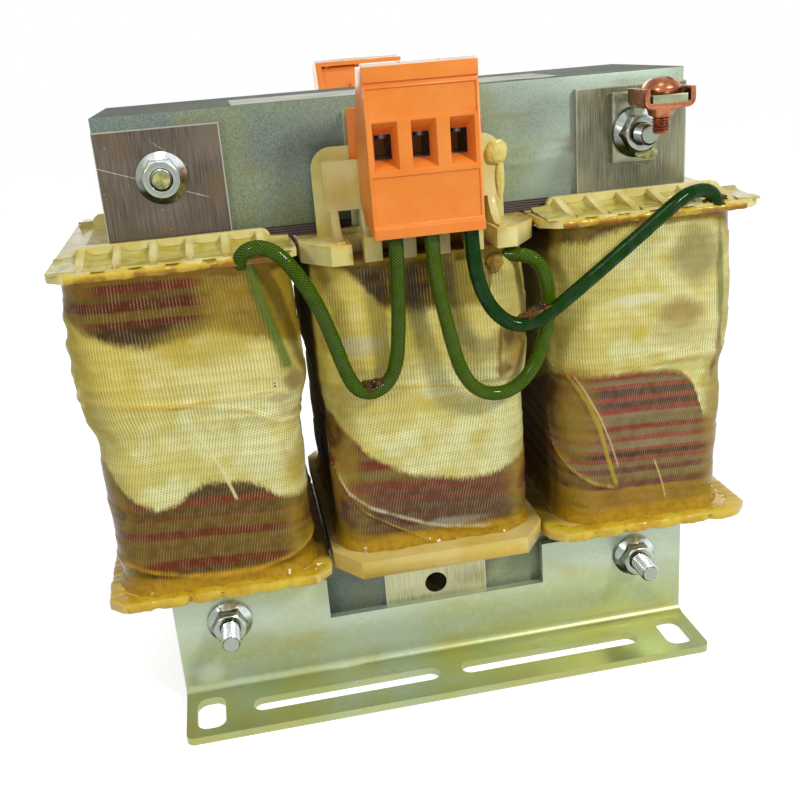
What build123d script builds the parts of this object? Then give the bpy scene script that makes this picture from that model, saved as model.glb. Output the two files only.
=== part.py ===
"""Three-phase line reactor with three coils on a three-limb laminated core.

X runs along the core, Y from the front (negative) to the back, Z up.
The origin lies on the floor, under the centre of the core. All sizes are in millimetres.
"""
import os

from build123d import *

# Core: E-shaped stack below, straight yoke above, a pressboard strip in the air gap
limb_width = 34.0
window_width = 34.0
window_height = 102.0
yoke_height = 34.0
stack_depth = 54.0
air_gap = 3.0
core_lift = 10.0

limb_pitch = limb_width + window_width
core_length = 2 * limb_pitch + limb_width
limb_base = core_lift + yoke_height
limb_top = limb_base + window_height
top_yoke_base = limb_top + air_gap
core_top = top_yoke_base + yoke_height
low_bolt_z = core_lift + yoke_height / 2
high_bolt_z = top_yoke_base + yoke_height / 2
core_face = stack_depth / 2
sides = {"left": -limb_pitch, "centre": 0.0, "right": limb_pitch}
ends = {"left": -1, "right": 1}

# Tie straps that bridge the air gap on both faces of each limb
strap_thickness = 2.0
strap_end_margin = 13.2
strap_face = core_face + strap_thickness

# Through bolts with insulating sleeves and flange nuts
bolt_diameter = 6.0
sleeve_bore_gap = 0.1
sleeve_wall = 0.45
sleeve_fit_gap = 0.1
bracket_bolt_hole = 6.6
hex_across_flats = 10.0
flange_diameter = 14.2
flange_rim = 1.2
flange_cone_height = 1.4
nut_height = 6.0
bolt_head_height = 5.0
bolt_tip_chamfer = 0.7
thread_gap = 0.05
bolt_standout = {"low_left": 8.5, "low_right": 8.5, "high_left": 0.6, "high_right": 5.0}
sleeve_outer = bolt_diameter + 2 * (sleeve_bore_gap + sleeve_wall)
clear_hole = sleeve_outer + 2 * sleeve_fit_gap

# Folded mounting brackets
bracket_thickness = 2.5
bracket_length = 170.0
bracket_ear_above_bolt = 9.0
bracket_bend_radius = 3.0
bracket_notch_width = 72.0
bracket_notch_below_bolt = 5.3
foot_reach = 23.5
foot_corner_radius = 2.5
foot_slot_length = 60.5
foot_slot_width = 6.6
foot_slot_x = 33.85
end_slot_length = 15.4
end_slot_width = 8.8
end_slot_radius = 3.4
end_slot_x = 77.2
foot_hole_offset = 12.2
bracket_face = strap_face + bracket_thickness
bracket_ear_top = low_bolt_z + bracket_ear_above_bolt
bracket_notch_base = low_bolt_z - bracket_notch_below_bolt

# Bobbins
bobbin_fit_gap = 0.3
bobbin_end_gap = 0.2
bobbin_wall = 2.0
side_flange_gap = 1.6
side_flange_overhang = 15.7
side_flange_thickness = 2.5
side_flange_corner = 4.0
collar_width = 54.6
collar_height = 3.9
collar_thickness = 2.2
collar_corner = 2.6
gusset_count = 6
gusset_pitch = 9.7
gusset_thickness = 2.2
gusset_reach = 14.5
flange_slot_width = 3.0
flange_slot_depth = 10.0
flange_lobe_corner = 1.3
centre_flange_gap = 1.0
centre_flange_overhang = 18.2
centre_flange_thickness = 5.5
centre_corner_x = 7.5
centre_corner_y = 10.5

bobbin_base = limb_base + bobbin_end_gap
bobbin_top = limb_top - bobbin_end_gap
tube_inner_x = limb_width + 2 * bobbin_fit_gap
tube_inner_y = 2 * (strap_face + bobbin_fit_gap)
tube_outer_x = tube_inner_x + 2 * bobbin_wall
tube_outer_y = tube_inner_y + 2 * bobbin_wall
collar_back = tube_inner_y / 2
collar_face = collar_back + collar_thickness
middle_height = (bobbin_base + bobbin_top) / 2
side_flange_width = limb_pitch - side_flange_gap
side_flange_depth = tube_outer_y + 2 * side_flange_overhang
centre_flange_width = limb_pitch - centre_flange_gap
centre_flange_depth = tube_outer_y + 2 * centre_flange_overhang

# Terminal carrier moulded on the centre bobbin
carrier_width = 55.0
carrier_height = 24.2
carrier_corner = 6.0
pocket_width = 50.0
pocket_rise = 7.2
pocket_height = 13.5
pocket_gap = 2.6
pocket_wall = 2.2
pocket_slot_width = 34.0
carrier_window_width = 42.0
carrier_window_sill = 1.5
carrier_window_head = 0.8
lead_notch_width = 40.4
lead_notch_wall = 2.0
rib_thickness = 2.2
rib_setback = 2.5
rib_shoulder = 0.6
rib_hollow = 1.9
outer_rib_x = 22.6
tooth_pitch = 9.5
tooth_width = 4.8
tooth_setback = 1.2
tooth_depth = 4.3
tooth_rise = 1.2
pocket_face = collar_face + pocket_gap + pocket_wall
pocket_base = bobbin_top + pocket_rise
pocket_top = pocket_base + pocket_height
carrier_window_base = bobbin_top + carrier_window_sill
carrier_window_top = pocket_base - carrier_window_head
rib_front = centre_flange_depth / 2 - rib_setback
tooth_front = centre_flange_depth / 2 - tooth_setback
tooth_top = bobbin_top + tooth_rise

# Coils in tape: stations up the coil, and how far each stands off the winding tube
coil_stations = (0.0, 0.06, 0.42, 0.5, 0.57, 0.68, 0.86, 1.0)
coil_side_build = {
    "left": (7.9, 8.9, 9.2, 8.8, 11.0, 11.9, 11.2, 10.2),
    "centre": (8.6, 9.6, 9.8, 9.6, 11.1, 11.4, 10.9, 10.2),
    "right": (4.9, 5.9, 6.6, 6.4, 8.0, 8.3, 8.0, 7.2),
}
coil_face_build = (9.7, 10.7, 11.2, 10.7, 12.2, 13.0, 12.7, 12.0)
coil_corner = 10.0
tape_thickness = 1.2
winding_gap = 0.15
wrap_end_gap = 0.1

# Terminal blocks, one on each face; heights on the face are shares of the block's height
block_width = 30.0
block_reach = 20.7
block_rise = 1.8
block_height = 43.2
block_top_depth = 9.7
block_chin_depth = 13.7
block_seat_gap = 0.3
block_shoulder = 0.542
block_heel = 0.183
block_chin = 0.046
lip_share = 0.079
lip_proud = 0.8
panel_recess = 0.4
panel_margin = 0.8
low_panel = (0.088, 0.368)
high_panel = (0.706, 0.877)
brow_groove = (0.889, 0.912)
brow_groove_depth = 0.6
pole_margin = 4.85
funnel_mouth = (6.6, 12.2)
funnel_throat = (4.6, 6.4)
funnel_share = 0.544
throat_drop = 0.5
funnel_depth = 5.2
cage_cavity = (6.6, 10.6, 11.0)
cage_gap = 0.1
screw_access_diameter = 3.6
screw_setback = 2.1
rear_recess_margin = 2.0
rear_recess_depth = 1.8
rear_recess = (0.74, 0.97)
rear_rib_width = 1.4
rear_rib_share = 0.83
rear_rib_offset = 3.0
foot_plate_overlap = 1.5
foot_plate_rise = 1.5
foot_plate_height = 25.5
foot_plate_gap = 0.2
bridge_height = 4.0
lead_pit_side_wall = 0.7
lead_pit_front_wall = 1.5
lead_pit_reach = 10.0
lead_pit_depth = 3.9
clamp_screw_diameter = 3.0
clamp_screw_length = 8.6
clamp_screw_bite = 1.0
clamp_screw_slot = 0.7
marker_thickness = 0.8
marker_depth = 4.5
marker_setback = 0.6
marker_groove = 0.4

foot_plate_width = block_width + 2 * foot_plate_overlap
pole_pitch = block_width / 2 - pole_margin
rear_recess_half_width = block_width / 2 - rear_recess_margin
lead_pit_half_width = block_width / 2 - lead_pit_side_wall
block_front = pocket_face + block_reach
block_back = pocket_face + block_seat_gap
block_base = bobbin_top + block_rise
block_top = block_base + block_height
funnel_centre_z = block_base + funnel_share * block_height
throat_centre_z = funnel_centre_z - throat_drop
cage_centre_y = -block_front + funnel_depth + cage_cavity[1] / 2
screw_axis_y = -block_front + funnel_depth + screw_setback
lead_pit_front = -block_front + lead_pit_front_wall
lead_pit_ceiling = block_base + lead_pit_depth

# Earth terminal on the top right bolt
earth_sheet = 2.2
earth_leg_width = 13.6
earth_leg_below_bolt = 8.5
earth_tab_above_bolt = 11.5
earth_tab_width = 10.0
earth_tab_reach = 26.0
earth_bend_radius = 1.0
earth_screw_reach = 20.0
earth_screw_diameter = 5.0
earth_screw_gap = 0.2
earth_clamp_width = 12.0
earth_clamp_inner = 11.6
earth_clamp_sheet = 1.4
earth_clamp_arm_rise = 1.7
earth_clamp_corner = 2.2
earth_collar_height = 2.1
earth_collar_top_diameter = 8.0
earth_collar_tip_diameter = 6.6
earth_head_diameter = 10.6
earth_head_height = 4.2
earth_head_rim = 1.5
earth_slot_width = 1.5
earth_slot_depth = 1.8
earth_screw_length = 10.5

earth_seat = strap_face + earth_sheet
earth_leg_base = high_bolt_z - earth_leg_below_bolt
earth_tab_top = high_bolt_z + earth_tab_above_bolt
earth_screw_y = -strap_face - earth_screw_reach

# Sleeved leads from the front terminal block into the coils; routes start from lead_start
lead_diameter = 4.1
lead_start = (0.0, lead_pit_front + 2.5, lead_pit_ceiling)
lead_routes = {
    "left": [
        (-8.8, 0.0, 0.0), (-8.8, 0.0, -9.7), (-9.1, 0.7, -19.3), (-9.5, 1.8, -28.9),
        (-10.2, 3.0, -37.9), (-11.8, 3.8, -43.9), (-15.0, 4.3, -47.6), (-19.2, 4.4, -48.8),
        (-22.8, 4.1, -46.7), (-25.3, 3.2, -41.0), (-27.6, 2.3, -32.1), (-31.0, 1.6, -21.1),
        (-35.7, 1.8, -11.6), (-40.2, 2.8, -5.6), (-44.6, 3.6, -3.5), (-48.4, 4.6, -4.2),
        (-50.3, 6.1, -6.4), (-50.4, 8.0, -8.5),
    ],
    "centre": [
        (1.0, 0.0, 0.0), (1.0, 0.0, -10.4), (2.4, 0.4, -21.6), (4.8, 1.0, -34.0),
        (7.4, 2.0, -44.9), (12.4, 3.5, -52.3), (20.2, 4.0, -54.4), (27.8, 4.0, -50.3),
        (33.0, 4.0, -40.5), (35.3, 4.1, -28.0), (33.8, 5.0, -18.3), (28.8, 6.2, -13.6),
        (20.6, 11.4, -14.6),
    ],
    "right": [
        (12.0, 0.0, 0.0), (12.0, 0.0, -10.1), (13.2, -0.9, -19.9), (16.9, -2.0, -28.1),
        (23.4, -2.6, -32.7), (31.2, -2.4, -31.0), (43.0, -1.4, -23.2), (56.0, 1.4, -15.3),
        (68.6, 3.2, -6.9), (76.4, 4.8, -2.0), (82.6, 6.4, -1.5), (86.6, 7.5, -3.7),
        (87.6, 8.1, -7.1),
    ],
}


def block(x_range, y_range, z_range):
    """Plain box between the given limits."""
    size = [high - low for low, high in (x_range, y_range, z_range)]
    middle = [(high + low) / 2 for low, high in (x_range, y_range, z_range)]
    return Pos(*middle) * Box(*size)


def along_front(x, y, z):
    """Place where a piece built upwards points towards the front instead."""
    return Pos(x, y, z) * Rot(90, 0, 0)


def cross_hole(x, z, diameter):
    """Cutter for a hole from front to back."""
    return along_front(x, 0, z) * Cylinder(diameter / 2, 4 * block_front)


def with_back(front_piece):
    """The piece and its mirror image at the back."""
    return front_piece + mirror(front_piece, about=Plane.XZ)


def make_e_core():
    body = block((-core_length / 2, core_length / 2), (-core_face, core_face), (core_lift, limb_top))
    for side in ends.values():
        window_x = side * limb_pitch / 2
        body -= block(
            (window_x - window_width / 2, window_x + window_width / 2),
            (-core_face, core_face),
            (limb_base, limb_top),
        )
        body -= cross_hole(side * limb_pitch, low_bolt_z, clear_hole)
    return body


def make_top_yoke():
    body = block((-core_length / 2, core_length / 2), (-core_face, core_face), (top_yoke_base, core_top))
    for side in ends.values():
        body -= cross_hole(side * limb_pitch, high_bolt_z, clear_hole)
    return body


def make_gap_strip():
    return block((-core_length / 2, core_length / 2), (-core_face, core_face), (limb_top, top_yoke_base))


def make_strap(x):
    body = block(
        (x - limb_width / 2, x + limb_width / 2),
        (-strap_face, -core_face),
        (low_bolt_z - strap_end_margin, high_bolt_z + strap_end_margin),
    )
    for z in (low_bolt_z, high_bolt_z):
        body -= cross_hole(x, z, clear_hole)
    return body


def make_bracket():
    """Front bracket: a folded angle with two ears and a slotted foot."""
    outline = make_face(Polyline(
        (-bracket_face - foot_reach, 0),
        (-strap_face, 0),
        (-strap_face, bracket_ear_top),
        (-bracket_face, bracket_ear_top),
        (-bracket_face, bracket_thickness),
        (-bracket_face - foot_reach, bracket_thickness),
        close=True,
    ))
    heel = outline.vertices().sort_by_distance((-strap_face, 0, 0))[0]
    outline = fillet(heel, bracket_bend_radius + bracket_thickness)
    inner = outline.vertices().sort_by_distance((-bracket_face, bracket_thickness, 0))[0]
    outline = fillet(inner, bracket_bend_radius)
    body = extrude(Plane.YZ * outline, bracket_length / 2, both=True)
    body = Part() + body
    toes = body.edges().filter_by(Axis.Z).group_by(Axis.Y)[0]
    body = fillet(toes, foot_corner_radius)
    body -= block(
        (-bracket_notch_width / 2, bracket_notch_width / 2),
        (-bracket_face - 1, -strap_face + 1),
        (bracket_notch_base, bracket_ear_top + 1),
    )
    foot_hole_y = -bracket_face - foot_hole_offset
    for side in ends.values():
        body -= cross_hole(side * limb_pitch, low_bolt_z, bracket_bolt_hole)
        long_slot = SlotOverall(foot_slot_length, foot_slot_width)
        body -= Pos(side * foot_slot_x, foot_hole_y, -1) * extrude(long_slot, bracket_thickness + 2)
        end_slot = RectangleRounded(end_slot_width, end_slot_length, end_slot_radius)
        body -= Pos(side * end_slot_x, foot_hole_y, -1) * extrude(end_slot, bracket_thickness + 2)
    return body


def flange_head(seat_height, total_height):
    """Hexagon with a conical flange, built upwards from its seat."""
    hexagon = extrude(RegularPolygon(hex_across_flats / 2, 6, major_radius=False), total_height)
    rounding = Pos(0, 0, total_height / 2) * Cone(
        hex_across_flats / 2 + total_height * 0.9, hex_across_flats / 2 - 0.2, total_height
    )
    skirt = Cylinder(flange_diameter / 2, seat_height, align=(Align.CENTER, Align.CENTER, Align.MIN))
    shoulder = Pos(0, 0, seat_height + flange_cone_height / 2) * Cone(
        flange_diameter / 2, hex_across_flats / 2, flange_cone_height
    )
    return (hexagon & rounding) + skirt + shoulder


def make_nut():
    body = flange_head(flange_rim, nut_height)
    bore = Cylinder(bolt_diameter / 2 + thread_gap, 3 * nut_height)
    return body - bore


def make_bolt(length):
    """Flange bolt whose head seat is at the origin and whose shank points up."""
    head = Rot(180, 0, 0) * flange_head(flange_rim, bolt_head_height)
    shank = Cylinder(bolt_diameter / 2, length, align=(Align.CENTER, Align.CENTER, Align.MIN))
    tip = shank.edges().sort_by(Axis.Z)[-1]
    shank = chamfer(tip, bolt_tip_chamfer)
    return head + shank


def make_sleeve(x, z):
    ring = Circle(sleeve_outer / 2) - Circle(sleeve_outer / 2 - sleeve_wall)
    tube = extrude(ring, strap_face - sleeve_fit_gap, both=True)
    return along_front(x, 0, z) * tube


def make_tube():
    """Winding tube of a bobbin round its limb and straps."""
    height = bobbin_top - bobbin_base
    wall = Rectangle(tube_outer_x, tube_outer_y) - Rectangle(tube_inner_x, tube_inner_y)
    return Pos(0, 0, bobbin_base) * extrude(wall, height)


def make_collar():
    """Upright collar in front of the strap, with its row of gussets, on the top flange."""
    rise = bobbin_top + collar_height
    plate = Rectangle(collar_width, collar_height, align=(Align.CENTER, Align.MIN))
    crown = plate.vertices().group_by(Axis.Y)[-1]
    plate = fillet(crown, collar_corner)
    wall = Plane.XZ.offset(collar_back) * Pos(0, bobbin_top) * plate
    body = extrude(wall, collar_thickness)
    fin = make_face(Polyline(
        (-collar_face, bobbin_top),
        (-collar_face - gusset_reach, bobbin_top),
        (-collar_face, rise - 0.4),
        close=True,
    ))
    for index in range(gusset_count):
        x = (index - (gusset_count - 1) / 2) * gusset_pitch
        body += Pos(x, 0, 0) * extrude(Plane.YZ * fin, gusset_thickness / 2, both=True)
    return body


def flange_outline():
    """Side flange with slots for the wire ends in its front and back edges, between the gussets."""
    half_depth = side_flange_depth / 2
    outline = chamfer(Rectangle(side_flange_width, side_flange_depth).vertices(), side_flange_corner)
    slot_places = []
    for index in range(gusset_count - 1):
        x = (index - (gusset_count - 2) / 2) * gusset_pitch
        slot_places.append(x)
        outline -= Pos(x, half_depth) * Rectangle(flange_slot_width, 2 * flange_slot_depth)
        outline -= Pos(x, -half_depth) * Rectangle(flange_slot_width, 2 * flange_slot_depth)
    reach = max(slot_places) + flange_slot_width
    lobe_ends = []
    for corner in outline.vertices():
        if abs(abs(corner.Y) - half_depth) < 0.01 and abs(corner.X) < reach:
            lobe_ends.append(corner)
    return fillet(lobe_ends, flange_lobe_corner)


def make_side_bobbin():
    outline = flange_outline()
    plate = outline - Rectangle(tube_inner_x, tube_inner_y)
    top = Pos(0, 0, bobbin_top - side_flange_thickness) * extrude(plate, side_flange_thickness)
    top += with_back(make_collar())
    bottom = mirror(top, about=Plane.XY.offset(middle_height))
    return make_tube() + top + bottom


def carrier_rib(x):
    """Rib that flares forward from the pocket down to the flange."""
    drop_z = bobbin_top - centre_flange_thickness
    crest = (-pocket_face, pocket_base)
    toe = (-rib_front, bobbin_top + rib_shoulder)
    bend = (
        (crest[0] + toe[0]) / 2 + rib_hollow,
        (crest[1] + toe[1]) / 2 - rib_hollow,
    )
    profile = make_face(
        Line((-collar_face, drop_z), (-collar_face, pocket_base))
        + Line((-collar_face, pocket_base), crest)
        + ThreePointArc(crest, bend, toe)
        + Line(toe, (-rib_front, drop_z))
        + Line((-rib_front, drop_z), (-collar_face, drop_z))
    )
    return Pos(x, 0, 0) * extrude(Plane.YZ * profile, rib_thickness / 2, both=True)


def make_carrier():
    """Wall, pocket, ribs and lead comb that hold the front terminal block."""
    plate = Rectangle(carrier_width, carrier_height, align=(Align.CENTER, Align.MIN))
    plate = fillet(plate.vertices().group_by(Axis.Y)[-1], carrier_corner)
    wall = extrude(Plane.XZ.offset(collar_back) * Pos(0, bobbin_top) * plate, collar_thickness)
    wall -= block(
        (-carrier_window_width / 2, carrier_window_width / 2),
        (-collar_face - 1, -collar_back + 1),
        (carrier_window_base, carrier_window_top),
    )
    pocket = block(
        (-pocket_width / 2, pocket_width / 2), (-pocket_face, -collar_face), (pocket_base, pocket_top)
    )
    pocket -= block(
        (-pocket_slot_width / 2, pocket_slot_width / 2),
        (-pocket_face + pocket_wall, -collar_face),
        (pocket_base, pocket_top),
    )
    body = wall + pocket
    for index in range(4):
        x = (index - 1.5) * tooth_pitch
        body += carrier_rib(x)
        body += block(
            (x - tooth_width / 2, x + tooth_width / 2),
            (-tooth_front, -tooth_front + tooth_depth),
            (bobbin_top - centre_flange_thickness, tooth_top),
        )
    for side in ends.values():
        body += carrier_rib(side * outer_rib_x)
    return body


def make_centre_bobbin():
    half_x = centre_flange_width / 2
    half_y = centre_flange_depth / 2
    outline = make_face(Polyline(
        (half_x, half_y - centre_corner_y), (half_x - centre_corner_x, half_y),
        (centre_corner_x - half_x, half_y), (-half_x, half_y - centre_corner_y),
        (-half_x, centre_corner_y - half_y), (centre_corner_x - half_x, -half_y),
        (half_x - centre_corner_x, -half_y), (half_x, centre_corner_y - half_y),
        close=True,
    ))
    plate = outline - Rectangle(tube_inner_x, tube_inner_y)
    bottom = Pos(0, 0, bobbin_base) * extrude(plate, centre_flange_thickness)
    top = Pos(0, 0, bobbin_top - centre_flange_thickness) * extrude(plate, centre_flange_thickness)
    notch = block(
        (-lead_notch_width / 2, lead_notch_width / 2),
        (-half_y - 1, -collar_face - lead_notch_wall),
        (bobbin_top - centre_flange_thickness - 1, bobbin_top + 1),
    )
    top -= with_back(notch)
    return make_tube() + bottom + top + with_back(make_carrier())


def coil_form(name, base, top, inset):
    """Solid of the coil's outside, drawn in by the inset."""
    sections = []
    for share, side_build, face_build in zip(coil_stations, coil_side_build[name], coil_face_build):
        width = tube_outer_x + 2 * (side_build - inset)
        depth = tube_outer_y + 2 * (face_build - inset)
        ring = RectangleRounded(width, depth, coil_corner - inset)
        sections.append(Plane.XY.offset(base + share * (top - base)) * ring)
    return loft(sections, ruled=True)


def make_coil(name):
    """Winding and the tape wrap round it, between the bobbin's flanges."""
    thickness = centre_flange_thickness if name == "centre" else side_flange_thickness
    base = bobbin_base + thickness + wrap_end_gap
    top = bobbin_top - thickness - wrap_end_gap
    core_hole = block(
        (-tube_outer_x / 2 - winding_gap, tube_outer_x / 2 + winding_gap),
        (-tube_outer_y / 2 - winding_gap, tube_outer_y / 2 + winding_gap),
        (base - 1, top + 1),
    )
    outside = coil_form(name, base, top, 0)
    inside = coil_form(name, base, top, tape_thickness)
    winding = coil_form(name, base, top, tape_thickness + winding_gap) - core_hole
    return winding, outside - inside


def rear_slope_y(share):
    """Where the block's sloping back is at a share of its height."""
    run = (share - block_shoulder) / (1 - block_shoulder)
    return -block_back + run * (block_back - block_front + block_top_depth)


def rear_cut(shares, half_width, x):
    """Cutter that lowers a band of the sloping back by the recess's depth."""
    low, high = shares
    corners = []
    for share, step in ((low, rear_recess_depth), (high, rear_recess_depth)):
        z = block_base + share * block_height
        corners.append((rear_slope_y(share) + step, z))
    for share in (high, low):
        z = block_base + share * block_height
        corners.append((rear_slope_y(share) - rear_recess_depth, z))
    outline = make_face(Polyline(*corners, close=True))
    return Pos(x, 0, 0) * extrude(Plane.YZ * outline, half_width, both=True)


def make_terminal_block():
    """Front housing: funnels for the line wires, cage cavities and a foot in the pocket."""
    lip_top = block_base + lip_share * block_height
    profile = make_face(Polyline(
        (-block_front - lip_proud, block_base),
        (-block_front - lip_proud, lip_top - lip_proud),
        (-block_front, lip_top),
        (-block_front, block_top),
        (-block_front + block_top_depth, block_top),
        (-block_back, block_base + block_shoulder * block_height),
        (-block_back, block_base + block_heel * block_height),
        (-block_front + block_chin_depth, block_base + block_chin * block_height),
        close=True,
    ))
    body = extrude(Plane.YZ * profile, block_width / 2, both=True)
    foot_base = pocket_base + foot_plate_rise
    body += block(
        (-foot_plate_width / 2, foot_plate_width / 2),
        (-collar_face - pocket_gap + foot_plate_gap, -collar_face - foot_plate_gap),
        (foot_base, foot_base + foot_plate_height),
    )
    bridge_base = pocket_top + block_seat_gap
    body += block(
        (-block_width / 2, block_width / 2),
        (-block_back - bridge_height / 2, -collar_face - foot_plate_gap),
        (bridge_base, bridge_base + bridge_height),
    )
    panel_half = block_width / 2 - panel_margin
    for low, high in (low_panel, high_panel):
        body -= block(
            (-panel_half, panel_half),
            (-block_front - lip_proud, -block_front + panel_recess),
            (block_base + low * block_height, block_base + high * block_height),
        )
    body -= block(
        (-block_width, block_width),
        (-block_front - lip_proud, -block_front + brow_groove_depth),
        [block_base + share * block_height for share in brow_groove],
    )
    body -= rear_cut(rear_recess, rear_recess_half_width, 0)
    rib_shares = (rear_recess[0], rear_rib_share)
    for index in (-1, 0, 1):
        x = index * pole_pitch - rear_rib_offset
        rib = rear_cut(rib_shares, rear_rib_width / 2, x)
        body += rib & Pos(0, -rear_recess_depth, 0) * rear_cut(rib_shares, rear_rib_width / 2, x)
    body -= block(
        (-lead_pit_half_width, lead_pit_half_width),
        (lead_pit_front, lead_pit_front + lead_pit_reach),
        (block_base - lead_pit_depth, lead_pit_ceiling),
    )
    for index in (-1, 0, 1):
        x = index * pole_pitch
        mouth = Plane.XZ.offset(block_front) * Pos(x, funnel_centre_z) * Rectangle(*funnel_mouth)
        throat = Plane.XZ.offset(block_front - funnel_depth)
        throat = throat * Pos(x, throat_centre_z) * Rectangle(*funnel_throat)
        body -= loft([mouth, throat], ruled=True)
        body -= Pos(x, cage_centre_y, throat_centre_z) * Box(*cage_cavity)
        body -= Pos(x, screw_axis_y, throat_centre_z) * Cylinder(
            screw_access_diameter / 2, block_height, align=(Align.CENTER, Align.CENTER, Align.MIN)
        )
    return body


def make_cages():
    """Clamp cages of one terminal block, open from front to back."""
    cages = []
    for index in (-1, 0, 1):
        x = index * pole_pitch
        size = [length - 2 * cage_gap for length in cage_cavity]
        cage = Pos(x, cage_centre_y, throat_centre_z) * Box(*size)
        cage -= Pos(x, cage_centre_y, throat_centre_z) * Box(funnel_throat[0], 2 * size[1], funnel_throat[1])
        cage -= Pos(x, screw_axis_y, throat_centre_z + size[2] / 2) * Cylinder(
            clamp_screw_diameter / 2 + thread_gap, size[2] / 2
        )
        cages.append(cage)
    return cages


def make_clamp_screws():
    """Slotted screws that press the wires in the cages."""
    tip_z = throat_centre_z + funnel_throat[1] / 2 - clamp_screw_bite
    screws = []
    for index in (-1, 0, 1):
        place = Pos(index * pole_pitch, screw_axis_y, tip_z)
        shank = Cylinder(
            clamp_screw_diameter / 2, clamp_screw_length, align=(Align.CENTER, Align.CENTER, Align.MIN)
        )
        slot = Pos(0, 0, clamp_screw_length) * Box(2 * clamp_screw_diameter, clamp_screw_slot, 2 * clamp_screw_slot)
        screws.append(place * (shank - slot))
    return screws


def make_marker_strip():
    """White strip of three tags on top of the front block."""
    back = -block_front + marker_setback + marker_depth
    front = -block_front + marker_setback
    half = block_width / 2 - marker_groove
    body = block((-half, half), (front, back), (block_top, block_top + marker_thickness))
    for side in ends.values():
        x = side * pole_pitch / 2
        body -= block(
            (x - marker_groove / 2, x + marker_groove / 2),
            (front - 1, back + 1),
            (block_top + marker_thickness / 2, block_top + 1),
        )
    return body


def make_earth_bracket():
    x = limb_pitch
    leg = block(
        (x - earth_leg_width / 2, x + earth_leg_width / 2),
        (-earth_seat, -strap_face),
        (earth_leg_base, earth_tab_top),
    )
    crown = leg.edges().filter_by(Axis.X).sort_by_distance((x, -strap_face, earth_tab_top))[0]
    leg = fillet(crown, earth_bend_radius)
    tab = block(
        (x - earth_tab_width / 2, x + earth_tab_width / 2),
        (-strap_face - earth_tab_reach, -earth_seat),
        (earth_tab_top - earth_sheet, earth_tab_top),
    )
    body = leg + tab
    body -= cross_hole(x, high_bolt_z, bracket_bolt_hole)
    body -= Pos(x, earth_screw_y, earth_tab_top) * Cylinder(
        earth_screw_diameter / 2 + earth_screw_gap, 4 * earth_sheet
    )
    return body


def make_earth_clamp():
    """U-shaped strap under the tab, with a threaded collar drawn from its base."""
    outer = earth_clamp_inner + 2 * earth_clamp_sheet
    under = earth_tab_top - earth_sheet
    base = under - earth_clamp_sheet
    height = earth_tab_top + earth_clamp_arm_rise - base
    profile = Rectangle(outer, height, align=(Align.CENTER, Align.MIN))
    profile = fillet(profile.vertices().group_by(Axis.Y)[0], earth_clamp_corner)
    hollow = Pos(0, earth_clamp_sheet) * Rectangle(earth_clamp_inner, height, align=(Align.CENTER, Align.MIN))
    hollow = fillet(hollow.vertices().group_by(Axis.Y)[0], earth_clamp_corner - earth_clamp_sheet)
    profile = Plane.XZ * (profile - hollow)
    body = Pos(limb_pitch, earth_screw_y, base) * extrude(profile, earth_clamp_width / 2, both=True)
    collar = Pos(limb_pitch, earth_screw_y, base - earth_collar_height / 2) * Cone(
        earth_collar_tip_diameter / 2, earth_collar_top_diameter / 2, earth_collar_height
    )
    bore = Pos(limb_pitch, earth_screw_y, base) * Cylinder(
        earth_screw_diameter / 2 + thread_gap, 4 * earth_collar_height
    )
    return body + collar - bore


def make_earth_screw():
    """Domed slotted screw through the tab and the clamp."""
    rim = earth_head_diameter / 2
    crown = make_face(
        Line((0, 0), (rim, 0))
        + Line((rim, 0), (rim, earth_head_rim))
        + ThreePointArc((rim, earth_head_rim), (rim * 0.72, earth_head_height * 0.82), (0, earth_head_height))
        + Line((0, earth_head_height), (0, 0))
    )
    head = revolve(Plane.XZ * crown, Axis.Z)
    head -= Pos(0, 0, earth_head_height) * Box(earth_slot_width, 2 * rim, 2 * earth_slot_depth)
    shank = Cylinder(earth_screw_diameter / 2, earth_screw_length, align=(Align.CENTER, Align.CENTER, Align.MAX))
    return Pos(limb_pitch, earth_screw_y, earth_tab_top) * Rot(0, 0, 25) * (head + shank)


def lead_radii(points):
    """Arc radius at each corner of a route, and the angle that the route turns there."""
    radii = []
    for before, corner, after in zip(points, points[1:], points[2:]):
        run_in = corner - before
        run_out = after - corner
        turn = run_in.get_angle(run_out)
        tangent = Vector(1, 0, 0).rotate(Axis.Z, turn / 2)
        radii.append(0.45 * min(run_in.length, run_out.length) * tangent.X / tangent.Y)
    return radii


def make_lead(name):
    """Sleeved lead: a tube along straight runs and tangent arcs."""
    points = [Vector(*lead_start) + Vector(*step) for step in lead_routes[name]]
    radii = lead_radii(points)
    path = FilletPolyline(*points, radius=radii)
    section = Plane(origin=path @ 0, z_dir=path % 0) * Circle(lead_diameter / 2)
    tube = sweep(section, path=path)
    share = tube.volume / (section.area * path.length)
    print(f"lead {name}: {path.length:.1f} mm, least radius {min(radii):.1f}, volume share {share:.4f}")
    return tube


os.makedirs("parts", exist_ok=True)
nodes = {
    "e_core": make_e_core(),
    "top_yoke": make_top_yoke(),
    "gap_strip": make_gap_strip(),
}

for name, x in sides.items():
    strap = make_strap(x)
    nodes[f"tie_strap_front_{name}"] = strap
    nodes[f"tie_strap_back_{name}"] = mirror(strap, about=Plane.XZ)
    bobbin = make_centre_bobbin() if name == "centre" else make_side_bobbin()
    nodes[f"bobbin_{name}"] = Pos(x, 0, 0) * bobbin
    winding, wrap = make_coil(name)
    nodes[f"winding_{name}"] = Pos(x, 0, 0) * winding
    nodes[f"tape_wrap_{name}"] = Pos(x, 0, 0) * wrap

nodes["mounting_bracket_front"] = make_bracket()
nodes["mounting_bracket_back"] = mirror(nodes["mounting_bracket_front"], about=Plane.XZ)

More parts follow.
